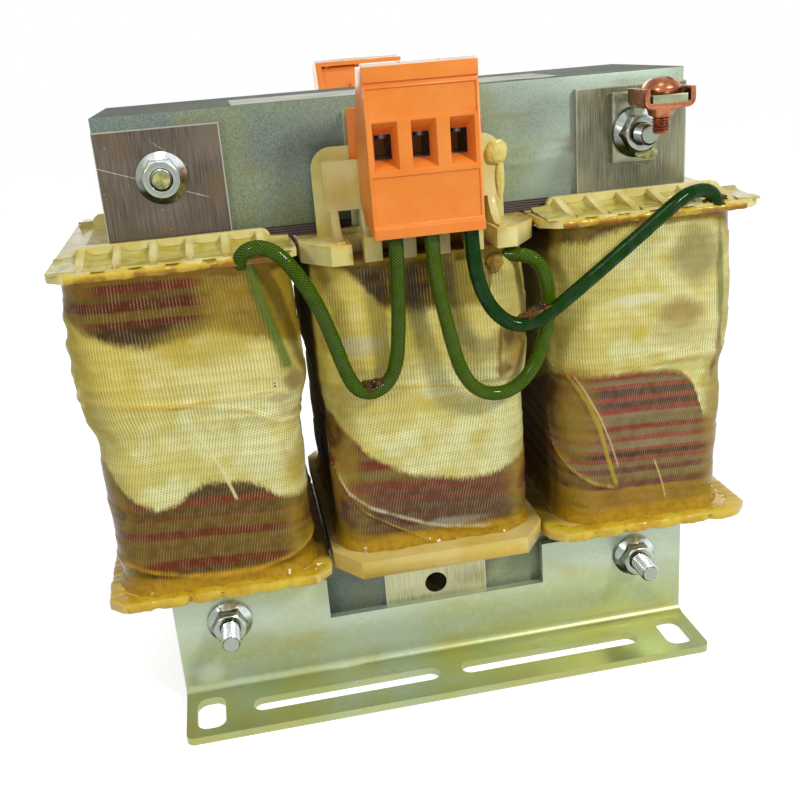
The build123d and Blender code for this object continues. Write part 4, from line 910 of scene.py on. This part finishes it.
def plasticFinish(name, base, shade, wear, rough=0.38):
    finish = Finish(name, Coat_Roughness=0.2, Specular_IOR_Level=0.25)
    cloud = finish.noise(0.09, 3.0)
    fine = finish.noise(2.4, 2.0)
    colour = finish.mix(finish.spread(cloud, 0.35, 0.7), base, shade)
    colour = finish.mix(finish.spread(finish.noise(0.16, 4.0), 0.62, 0.76, 0.0, 0.45), colour, wear)
    return finish.set(Base_Color=colour, Roughness=finish.spread(fine + cloud * 0.5, 0.5, 1.0, rough - 0.05,
                      rough + 0.08), Coat_Weight=0.12, Normal=finish.bump(fine + cloud * 3, 0.02))


def paintedGapShade(finish):
    # 1 down in the narrow gaps between the coils: painted shade there, where little light gets in, and a duller resin
    deep = finish.spread(abs(finish.y), 41, 34) * finish.spread(abs(finish.x), 70, 62)
    return deep * finish.spread(finish.z, 143, 138)


def bobbinFinish(name):
    # cream nylon under a film of resin that is deeper at the edges and in the corners
    finish = Finish(name, Coat_Roughness=0.08, Coat_IOR=1.3, Specular_IOR_Level=0.05)
    cloud = finish.noise(0.09, 2.0)
    runs = finish.noise(0.3, 3.0, (1, 1, 0.35))
    fine = finish.noise(1.1, 2.0)
    colour = finish.mix(finish.spread(cloud, 0.36, 0.68), tone(220, 211, 146), tone(206, 192, 110))
    deep = finish.spread(runs + cloud * 0.4, 0.76, 0.98, 0.0, 0.5)
    colour = finish.mix(deep, colour, tone(200, 168, 56))
    plate = finish.band(finish.z, 146.0, 1.2, 1.0).sum("MAXIMUM", finish.band(finish.z, 45.0, 2.4, 1.0))
    colour = finish.mix(plate * finish.spread(fine + cloud, 0.8, 1.2, 0.1, 0.5), colour, tone(208, 166, 58))
    colour = finish.mix(finish.spread(finish.z, 60, 50, 0.0, 0.5), colour, tone(206, 170, 70))
    specks = finish.spread(finish.noise(0.8, 2.0), 0.72, 0.78)
    colour = finish.mix(specks * 0.6, colour, tone(132, 92, 30))
    gapShade = paintedGapShade(finish)
    # painted shade: darker nylon down in the gaps between the coils
    colour = finish.mix(gapShade * 0.75, colour, tone(96, 74, 24))
    return finish.set(Base_Color=colour, Roughness=finish.spread(gapShade, 0.0, 0.6, 0.3, 0.85),
                      Coat_Weight=finish.spread(runs, 0.3, 0.6, 0.3, 0.8) * (1 - gapShade),
                      Normal=finish.bump(runs * 2 + fine * 0.4, 0.1))


def resinFinish(name, clear, deep, edge, gloss=1.34, busy=1.0, gapShadeShare=0.8):
    finish = Finish(name, Coat_Roughness=0.05, Coat_IOR=gloss, Specular_IOR_Level=0.04)
    cloud = finish.noise(0.16 * busy, 3.0)
    fine = finish.noise(0.8 * busy, 3.0)
    colour = finish.mix(finish.spread(cloud, 0.36, 0.64), clear, deep)
    colour = finish.mix(finish.spread(fine, 0.58, 0.78, 0.0, 0.6), colour, edge)
    under = finish.band(finish.z + (fine - 0.5) * 1.6, 143.5, 0.9, 0.6) * finish.spread(cloud, 0.35, 0.55, 0.3, 1.0)
    colour = finish.mix(under * 0.85, colour, tone(136, 78, 16))
    gapShade = paintedGapShade(finish)
    # painted shade: darker resin down in the gaps between the coils
    colour = finish.mix(gapShade * gapShadeShare, colour, tone(84, 62, 18))
    return finish.set(Base_Color=colour, Coat_Weight=finish.spread(gapShade, 0.0, 0.6, 1.0, 0.0),
                      Roughness=finish.spread(gapShade, 0.0, 0.6, 0.25, 0.8), Normal=finish.bump(cloud * 3 + fine, 0.16))


def copperFinish(name):
    finish = Finish(name, Metallic=1.0)
    cloud = finish.noise(0.3, 3.0)
    colour = finish.mix(finish.spread(cloud, 0.35, 0.7), tone(186, 122, 88), tone(128, 76, 50))
    return finish.set(Base_Color=colour, Roughness=finish.spread(cloud, 0.3, 0.7, 0.2, 0.36),
                      Normal=finish.bump(finish.noise(1.2, 3.0), 0.03))


def boardFinish(name):
    finish = Finish(name, Roughness=0.6)
    sheets = finish.ripple(finish.z + finish.noise(0.2) * 0.3, 0.72)
    colour = finish.mix(sheets, tone(44, 34, 36), tone(86, 72, 70))
    colour = finish.mix(finish.spread(finish.noise(0.15, 3.0), 0.55, 0.75, 0.0, 0.6), colour, tone(120, 84, 32))
    return finish.set(Base_Color=colour, Normal=finish.bump(sheets, 0.08))


def wireFinish(name):
    finish = Finish(name, Coat_Weight=0.8, Coat_Roughness=0.1, Roughness=0.35)
    turns = finish.ripple(finish.z, 2.9)
    cloud = finish.noise(0.15, 3.0)
    colour = finish.mix(finish.spread(turns, 0.1, 0.5), tone(58, 30, 16), tone(126, 44, 28))
    colour = finish.mix(finish.spread(cloud, 0.5, 0.7, 0.0, 0.6), colour, tone(112, 80, 28))
    return finish.set(Base_Color=colour, Normal=finish.bump(turns, 0.5))


steel = coreFinish("coreSteel")
# the three straps are one steel; each shade value is set to how dark that strap looks, so part of the difference is
# painted light: the left strap darker, the low centre strap lighter
strapPlans = {
    "Left": {"shade": (98, 88, 76), "scratches": [((-99, 175), (-56, 159.5), 0.1), ((-76, 184), (-58, 180), 0.09),
                                                   ((-97, 164), (-84, 158), 0.05), ((-70, 176), (-60, 168), 0.04)]},
    "Right": {"shade": (126, 126, 102), "scratches": [((66.4, 172), (70.8, 182), 0.09), ((60, 160), (72, 156), 0.06),
                                                      ((84, 176), (98, 168), 0.05)]},
    "Centre": {"shade": (176, 174, 132), "scratches": [((-12, 28), (-6, 22), 0.06)]},
}
straps = {}
for side, plan in strapPlans.items():
    box = [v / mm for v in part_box("tie_strap_front_" + side.lower())]
    straps[side] = strapFinish("strapSteel" + side, box=box, **plan)
zinc = zincFinish("bracketZinc", tone(182, 196, 174), tone(172, 182, 134))
earthZinc = zincFinish("earthZinc", tone(158, 166, 150), tone(140, 144, 108), 0.85, 0.24)
boltCorners = ("low_left", "low_right", "high_left", "high_right")
plated = {}
for corner in boltCorners:
    middle = sum(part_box("clamp_bolt_" + corner), Vector()) / 2 / mm
    plated[corner] = fastenerFinish("platedZinc_" + corner, 1.0, tone(154, 162, 152), tone(142, 142, 96),
                                    (middle.x, middle.z))
orange = plasticFinish("housingOrange", tone(228, 128, 44), tone(232, 138, 56), tone(208, 104, 28))
white = plasticFinish("markerWhite", tone(228, 226, 220), tone(218, 212, 198), tone(200, 184, 144))
nylon = bobbinFinish("bobbinNylon")
amber = resinFinish("resinAmber", tone(210, 182, 54), tone(194, 156, 26), tone(148, 100, 12))
webResin = resinFinish("resinWeb", tone(164, 134, 44), tone(138, 106, 24), tone(106, 76, 16))
pool = resinFinish("resinPool", tone(196, 188, 104), tone(176, 162, 60), tone(160, 128, 30), 1.45)
darkResin = resinFinish("resinDark", tone(44, 38, 24), tone(18, 16, 8), tone(8, 8, 4), 1.45, 1.0, 0.0)
clearResin = resinFinish("resinClear", tone(226, 214, 124), tone(206, 188, 80), tone(240, 236, 180),
                          1.45)
nutResin = resinFinish("resinNut", tone(186, 184, 104), tone(112, 110, 46), tone(232, 234, 190), 1.6, 2.2)
crust = resinFinish("resinCrust", tone(96, 64, 12), tone(24, 12, 3), tone(172, 136, 48), 1.2, 2.6)
copper = copperFinish("clampCopper")
board = boardFinish("gapBoard")
enamel = wireFinish("windingEnamel")
sleevePlastic = plasticFinish("sleevePlastic", tone(190, 180, 150), tone(170, 158, 120), tone(140, 124, 80))
cageSteel = fastenerFinish("cageSteel", 0.5, tone(112, 116, 120), tone(84, 88, 92))


def dress(nodeName, material):
    data = cadNodes[nodeName].data
    data.materials.clear()
    data.materials.append(material)


for nodeName in cadNodes:
    if nodeName.startswith("bobbin"):
        dress(nodeName, nylon)
    elif nodeName.startswith("winding"):
        dress(nodeName, enamel)
    elif nodeName.startswith("tie_strap"):
        dress(nodeName, straps[nodeName.split("_")[-1].title()])
    elif nodeName.startswith("mounting_bracket") or nodeName == "earth_bracket":
        dress(nodeName, zinc)
    elif nodeName.startswith(("clamp_bolt", "flange_nut")):
        dress(nodeName, plated["_".join(nodeName.split("_")[2:])])
    elif nodeName.startswith("bolt_sleeve"):
        dress(nodeName, sleevePlastic)
    elif nodeName.startswith(("terminal_cages", "terminal_screws")):
        dress(nodeName, cageSteel)
    elif nodeName.startswith("marker_strip"):
        dress(nodeName, white)
    elif nodeName in ("earth_clamp", "earth_screw"):
        dress(nodeName, copper)
    elif nodeName == "gap_strip":
        dress(nodeName, board)

softened("yokeStack", "top_yoke", 0.25, steel)
softened("coreStack", "e_core", 0.25, steel)
for end in ("front", "back"):
    softened("terminalHousing_" + end, "terminal_housing_" + end, 0.35, orange)
for side in ("left", "centre", "right"):
    softened("castBobbin_" + side, "bobbin_" + side, 0.3, nylon, 2, 1.0, True)
softened("earthPlate", "earth_bracket", 0.25, earthZinc)
softened("earthClampBody", "earth_clamp", 0.25, copper)
for corner in boltCorners:
    softened("flangeNut_" + corner, "flange_nut_" + corner, 0.22, plated[corner], 3)
print("metal and plastic dressed")

# ---- resin on the bobbins
flangePlan = {"halfX": 33.2, "halfY": 47.0, "cut": 4.0, "plate": 2.5, "pitch": 9.7, "slotWidth": 3.0,
              "slotDepth": 10.0, "inset": 2.5, "out": 3.0, "step": 0.5, "round": 20}
levels = {"top": 145.8, "bottom": 44.2}
slotPlaces = [(i - 2) * flangePlan["pitch"] for i in range(5)]
gussetPlaces = [(i - 2.5) * flangePlan["pitch"] for i in range(6)]


def flangeRing(inset):
    a, b, c = flangePlan["halfX"] - inset, flangePlan["halfY"] - inset, flangePlan["cut"]
    corners = [(-a + c, -b), (a - c, -b), (a, -b + c), (a, b - c), (a - c, b), (-a + c, b), (-a, b - c),
               (-a, -b + c), (-a + c, -b)]
    points, _ = evenly(np.array([(x, y, 0.0) for x, y in corners]), flangePlan["step"])
    return points[:-1]


def mergedPiece(name, meshes, material, nodes=()):
    body = bmesh.new()
    for mesh in meshes:
        body.from_mesh(mesh)
        bpy.data.meshes.remove(mesh)
    mesh = bpy.data.meshes.new(name)
    body.to_mesh(mesh)
    body.free()
    return newPiece(name, mesh, material, nodes)


def boxyDrop(centre, size, seed, power=0.45, rough=0.1):
    mesh = bpy.data.meshes.new("drop")
    body = bmesh.new()
    bmesh.ops.create_icosphere(body, subdivisions=4, radius=1.0)
    for vert in body.verts:
        push = 1 + rough * noise.noise(vert.co * 2.2 + Vector((seed, 0, 0)))
        vert.co = Vector([math.copysign(abs(c) ** power, c) * push for c in vert.co])
    body.transform(Matrix.Translation(Vector(centre) * mm) @ Matrix.Diagonal((*[s / 2 * mm for s in size], 1)))
    body.to_mesh(mesh)
    body.free()
    return mesh


def lipMesh(centreX, end, seed):
    ring = flangeRing(flangePlan["inset"])
    ahead = np.roll(ring, -1, 0) - np.roll(ring, 1, 0)
    ahead /= np.linalg.norm(ahead, axis=1)[:, None]
    out = np.stack([ahead[:, 1], -ahead[:, 0]], -1)
    for _ in range(4):
        out = (out + np.roll(out, 1, 0) + np.roll(out, -1, 0)) / 3
    out /= np.linalg.norm(out, axis=1)[:, None]
    frontBack = np.abs(out[:, 1]) > 0.9
    notch = sum(bell((ring[:, 0] - at) / 1.5) for at in slotPlaces) * frontBack * (0.3 if end == "top" else 0.5)
    shifted = ring + (centreX, 0, 0)
    wide = fieldNoise(shifted, 6.0, seed)
    narrow = fieldNoise(shifted, 1.8, seed + 5)
    reach = flangePlan["out"] + 0.5 * wide + 0.25 * narrow
    half = (1.25 if end == "top" else 1.6) + 0.2 * wide + 0.2 * narrow - 0.8 * notch
    drop = 0.35 * wide + (0.25 if end == "top" else -0.6) - 0.5 * np.clip(wide, 0, 1)
    middle = levels["top"] - flangePlan["plate"] / 2 - 0.45 if end == "top" else levels["bottom"] + flangePlan["plate"] / 2
    angles = np.linspace(0, 2 * math.pi, flangePlan["round"], endpoint=False)
    upright = np.sign(np.sin(angles)) * np.abs(np.sin(angles)) ** 0.6
    level = np.sign(np.cos(angles)) * np.abs(np.cos(angles)) ** 0.6
    rise = upright[None] * half[:, None]
    outerSide = np.clip(np.cos(angles), 0, 1)[None]
    rise = rise - (np.sin(angles)[None] < 0) * np.abs(drop)[:, None] * outerSide
    away = level[None] * reach[:, None] - 1.3 * notch[:, None] * outerSide
    x = centreX + ring[:, :1] + out[:, :1] * away
    y = ring[:, 1:2] + out[:, 1:2] * away
    return gridMesh("lip", np.stack([x, y, middle + rise], -1), loopU=True, loopV=True)


def poolMesh(left, rightEdge, near, far, side, seed, walls):
    # thin pool between two gussets, thicker where it creeps up the collar and the gussets
    xs = np.linspace(left, rightEdge, 16)
    ys = np.linspace(near, far, 26)
    gridX, gridY = np.meshgrid(xs, ys)
    flat = np.stack([gridX, gridY * side, gridX * 0], -1)
    depth = 0.4 + 0.3 * fieldNoise(flat, 5.0, seed) + 0.05 * fieldNoise(flat, 2.0, seed)
    depth += 1.3 * np.exp(-(gridY - near) / 1.7)
    for wall, share in zip((gridX - left, rightEdge - gridX), walls):
        depth += 0.8 * share * np.exp(-wall / 0.8) * np.clip((far - gridY) / (far - near), 0, 1)
    edge = np.clip((far - gridY) / 1.2, 0, 1)
    depth = np.clip(depth, 0.08, None) * np.sqrt(edge) + 0.02
    top = np.stack([gridX, gridY * side, levels["top"] + depth], -1)
    floorSheet = np.stack([gridX, gridY * side, np.full_like(gridX, levels["top"] - 0.3)], -1)
    rows = np.concatenate([floorSheet[:1], top, floorSheet[::-1]], 0)
    return gridMesh("pool", rows)


for side, centreX in (("left", -68.0), ("right", 68.0)):
    for level in ("top", "bottom"):
        seed = centreX * 0.1 + (3 if level == "top" else 8)
        newPiece(f"resinLip_{side}_{level}", lipMesh(centreX, level, seed), amber)
        middle = levels["top"] - 1.25 if level == "top" else levels["bottom"] + 1.25
        webs = []
        for at in slotPlaces:
            for face in (-1, 1):
                webs.append(boxyDrop((centreX + at, face * 41.6, middle), (3.5, 10.4, 1.9), seed + at, 0.35))
        mergedPiece(f"slotResin_{side}_{level}", webs, webResin)
    pools = []
    edges = [-32.2] + [g + d for g in gussetPlaces for d in (-1.0, 1.0)] + [32.2]
    for k in range(0, len(edges), 2):
        for face in (-1, 1):
            walls = (float(k > 0), float(k < len(edges) - 2))
            pools.append(poolMesh(centreX + edges[k], centreX + edges[k + 1], 31.4, 46.6, face, centreX + k, walls))
    mergedPiece("collarResin_" + side, pools, pool)
print("resin poured")

# ---- threads
threadPlan = {"clamp": {"radius": 2.98, "pitch": 1.0, "depth": 0.55}, "earth": {"radius": 2.48, "pitch": 0.8, "depth": 0.45}}


def threadMesh(plan, length, sides=40, step=0.09):
    # threaded end along +Z from 0 to length, with a short taper
    rows = int(length / step)
    run = np.linspace(0, length, rows)[:, None]
    turns = np.arange(sides)[None, :] / sides
    phase = run / plan["pitch"] - turns
    tooth = np.abs((phase - np.floor(phase)) * 2 - 1)
    tooth = np.clip((tooth - 0.12) / 0.76, 0, 1)
    radius = plan["radius"] - plan["depth"] * tooth
    radius = np.minimum(radius, plan["radius"] - np.clip(run - (length - 0.7), 0, 1) * 0.9)
    angles = turns * 2 * math.pi
    return np.stack([radius * np.cos(angles), radius * np.sin(angles), np.broadcast_to(run, radius.shape)], -1)


def threadedCopy(name, node, plan, axis, cutAt, tipAt, centre, material):
    # the CAD fastener up to cutAt, then a real thread to tipAt
    mesh = cadNodes[node].data.copy()
    body = bmesh.new()
    body.from_mesh(mesh)
    bmesh.ops.remove_doubles(body, verts=body.verts, dist=1e-6)
    direction = Vector((0, -1, 0)) if axis == "y" else Vector((0, 0, -1))
    where = Vector(centre) * mm
    where[1 if axis == "y" else 2] = cutAt * mm
    cut = bmesh.ops.bisect_plane(body, geom=body.verts[:] + body.edges[:] + body.faces[:], plane_co=where,
                                 plane_no=direction, clear_outer=True)
    rimEdges = [e for e in cut["geom_cut"] if isinstance(e, bmesh.types.BMEdge)]
    bmesh.ops.holes_fill(body, edges=rimEdges)
    points = threadMesh(plan, abs(tipAt - cutAt) + 0.15)
    if axis == "y":
        turned = np.stack([points[..., 0], -points[..., 2], points[..., 1]], -1)
    else:
        turned = np.stack([points[..., 0], -points[..., 1], -points[..., 2]], -1)
    base = np.array(centre, float)
    base[1 if axis == "y" else 2] = cutAt + 0.15
    thread = gridMesh("thread", turned + base, loopU=True, capEnds=True)
    body.from_mesh(thread)
    bpy.data.meshes.remove(thread)
    made = bpy.data.meshes.new(name)
    body.to_mesh(made)
    body.free()
    bpy.data.meshes.remove(mesh)
    piece = newPiece(name, made, material, [node], smooth=True)
    piece.data.set_sharp_from_angle(angle=math.radians(32))
    return piece


for corner in boltCorners:
    low, high = [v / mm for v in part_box("clamp_bolt_" + corner)]
    nutLow, nutHigh = [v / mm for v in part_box("flange_nut_" + corner)]
    centre = (nutLow + nutHigh) / 2
    threadedCopy("clampBolt_" + corner, "clamp_bolt_" + corner, threadPlan["clamp"], "y", nutHigh.y - 1.2, low.y,
                 centre, plated[corner])
low, high = [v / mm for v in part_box("earth_screw")]
clampLow, clampHigh = [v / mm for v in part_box("earth_clamp")]
threadedCopy("earthScrew", "earth_screw", threadPlan["earth"], "z", clampLow.z - 0.4, low.z,
             ((low.x + high.x) / 2, (low.y + high.y) / 2, 0), copper)
print("threads cut")

# ---- blank labels, drops and crusts
labelPlan = {"thick": 0.12, "places": {"left": (-47.0, -8.0, -26.0, 2.0), "right": (12.0, 49.0, -22.0, 6.0)}}
paper = plasticFinish("labelPaper", tone(196, 196, 184), tone(178, 178, 160), tone(160, 150, 110), 0.7)
paper.node_tree.nodes["Principled BSDF"].inputs["Specular IOR Level"].default_value = 0.02
paper.node_tree.nodes["Principled BSDF"].inputs["Coat Weight"].default_value = 0


def labelMesh(x0, x1, y0, y1, z, seed):
    xs, ys = np.meshgrid(np.linspace(x0, x1, 60), np.linspace(y0, y1, 40))
    rise = 0.1 * fieldNoise(np.stack([xs, ys, xs * 0], -1), 9.0, seed)
    curl = 0.25 * np.clip(1 - np.hypot(xs - x1, ys - y0) / 5, 0, 1) ** 2
    top = np.stack([xs, ys, z + labelPlan["thick"] + np.abs(rise) + curl], -1)
    under = top - (0, 0, labelPlan["thick"])
    return gridMesh("label", np.concatenate([top, under[::-1]], 0), loopV=True)


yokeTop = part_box("top_yoke")[1].z / mm
low, high = [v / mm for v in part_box("clamp_bolt_high_left")]
boltEnd = Vector(((low.x + high.x) / 2, low.y, (low.z + high.z) / 2))
for side, (x0, x1, y0, y1) in labelPlan["places"].items():
    sharpEnds(newPiece("blankLabel_" + side, labelMesh(x0, x1, y0, y1, yokeTop, x0), paper))

drops = [
    ("resinDrop_carrier", (24.4, -36.6, 165.0), (6.6, 2.6, 7.0), clearResin, "bobbin_nylon", 3, 0.14, (0, 20, 0)),
    ("resinDrop_carrierRun", (25.4, -36.4, 158.0), (2.6, 1.6, 12.0), clearResin, "bobbin_nylon", 5, 0.1, (0, 0, 0)),
    ("resinDrop_nutEnd", (boltEnd.x, boltEnd.y, boltEnd.z), (4.7, 0.8, 4.7), nutResin, "plated_fasteners", 41, 0.12,
     (0, 0, 0)),
    ("resinDrop_earthNut", (70.6, -34.0, 160.2), (7.6, 1.6, 3.4), nutResin, "plated_fasteners", 7, 0.25, (0, 0, 20)),
    ("resinDrop_strapHole", (0.0, -28.4, 27.0), (7.4, 2.6, 7.4), darkResin, "strap_steel", 11, 0.12, (0, 0, 0)),
    ("resinKnot_centreTop", (21.0, -44.6, 135.4), (6.4, 4.0, 6.0), webResin, "glass_tape", 13, 0.16, (0, 0, 15)),
    ("resinKnot_centreSide", (21.8, -43.4, 106.0), (6.0, 3.6, 9.0), webResin, "glass_tape", 17, 0.4, (0, 25, 0)),
    ("resinKnot_left", (-43.2, -41.8, 109.0), (6.2, 4.6, 6.6), crust, "glass_tape", 19, 0.5, (0, 0, 35)),
    ("leadCrust_left", (-17.6, -48.9, 105.2), (9.0, 3.4, 2.8), crust, "green_sleeving", 23, 0.7, (0, -8, 0)),
    ("leadCrust_right", (28.5, -55.4, 122.6), (10.5, 3.4, 2.8), crust, "green_sleeving", 29, 0.7, (0, -14, 0)),
    ("leadEnd_right", (87.6, -44.6, 145.4), (6.0, 4.4, 4.4), crust, "green_sleeving", 31, 0.6, (0, 0, 0)),
    ("leadEnd_left", (-50.6, -45.4, 144.2), (5.0, 4.4, 3.6), webResin, "green_sleeving", 37, 0.3, (0, 0, 0)),
]
for name, centre, size, material, slotName, seed, rough, lean in drops:
    blob(name, centre, size, material, seed, rough, lean)
print("labels and drops placed")
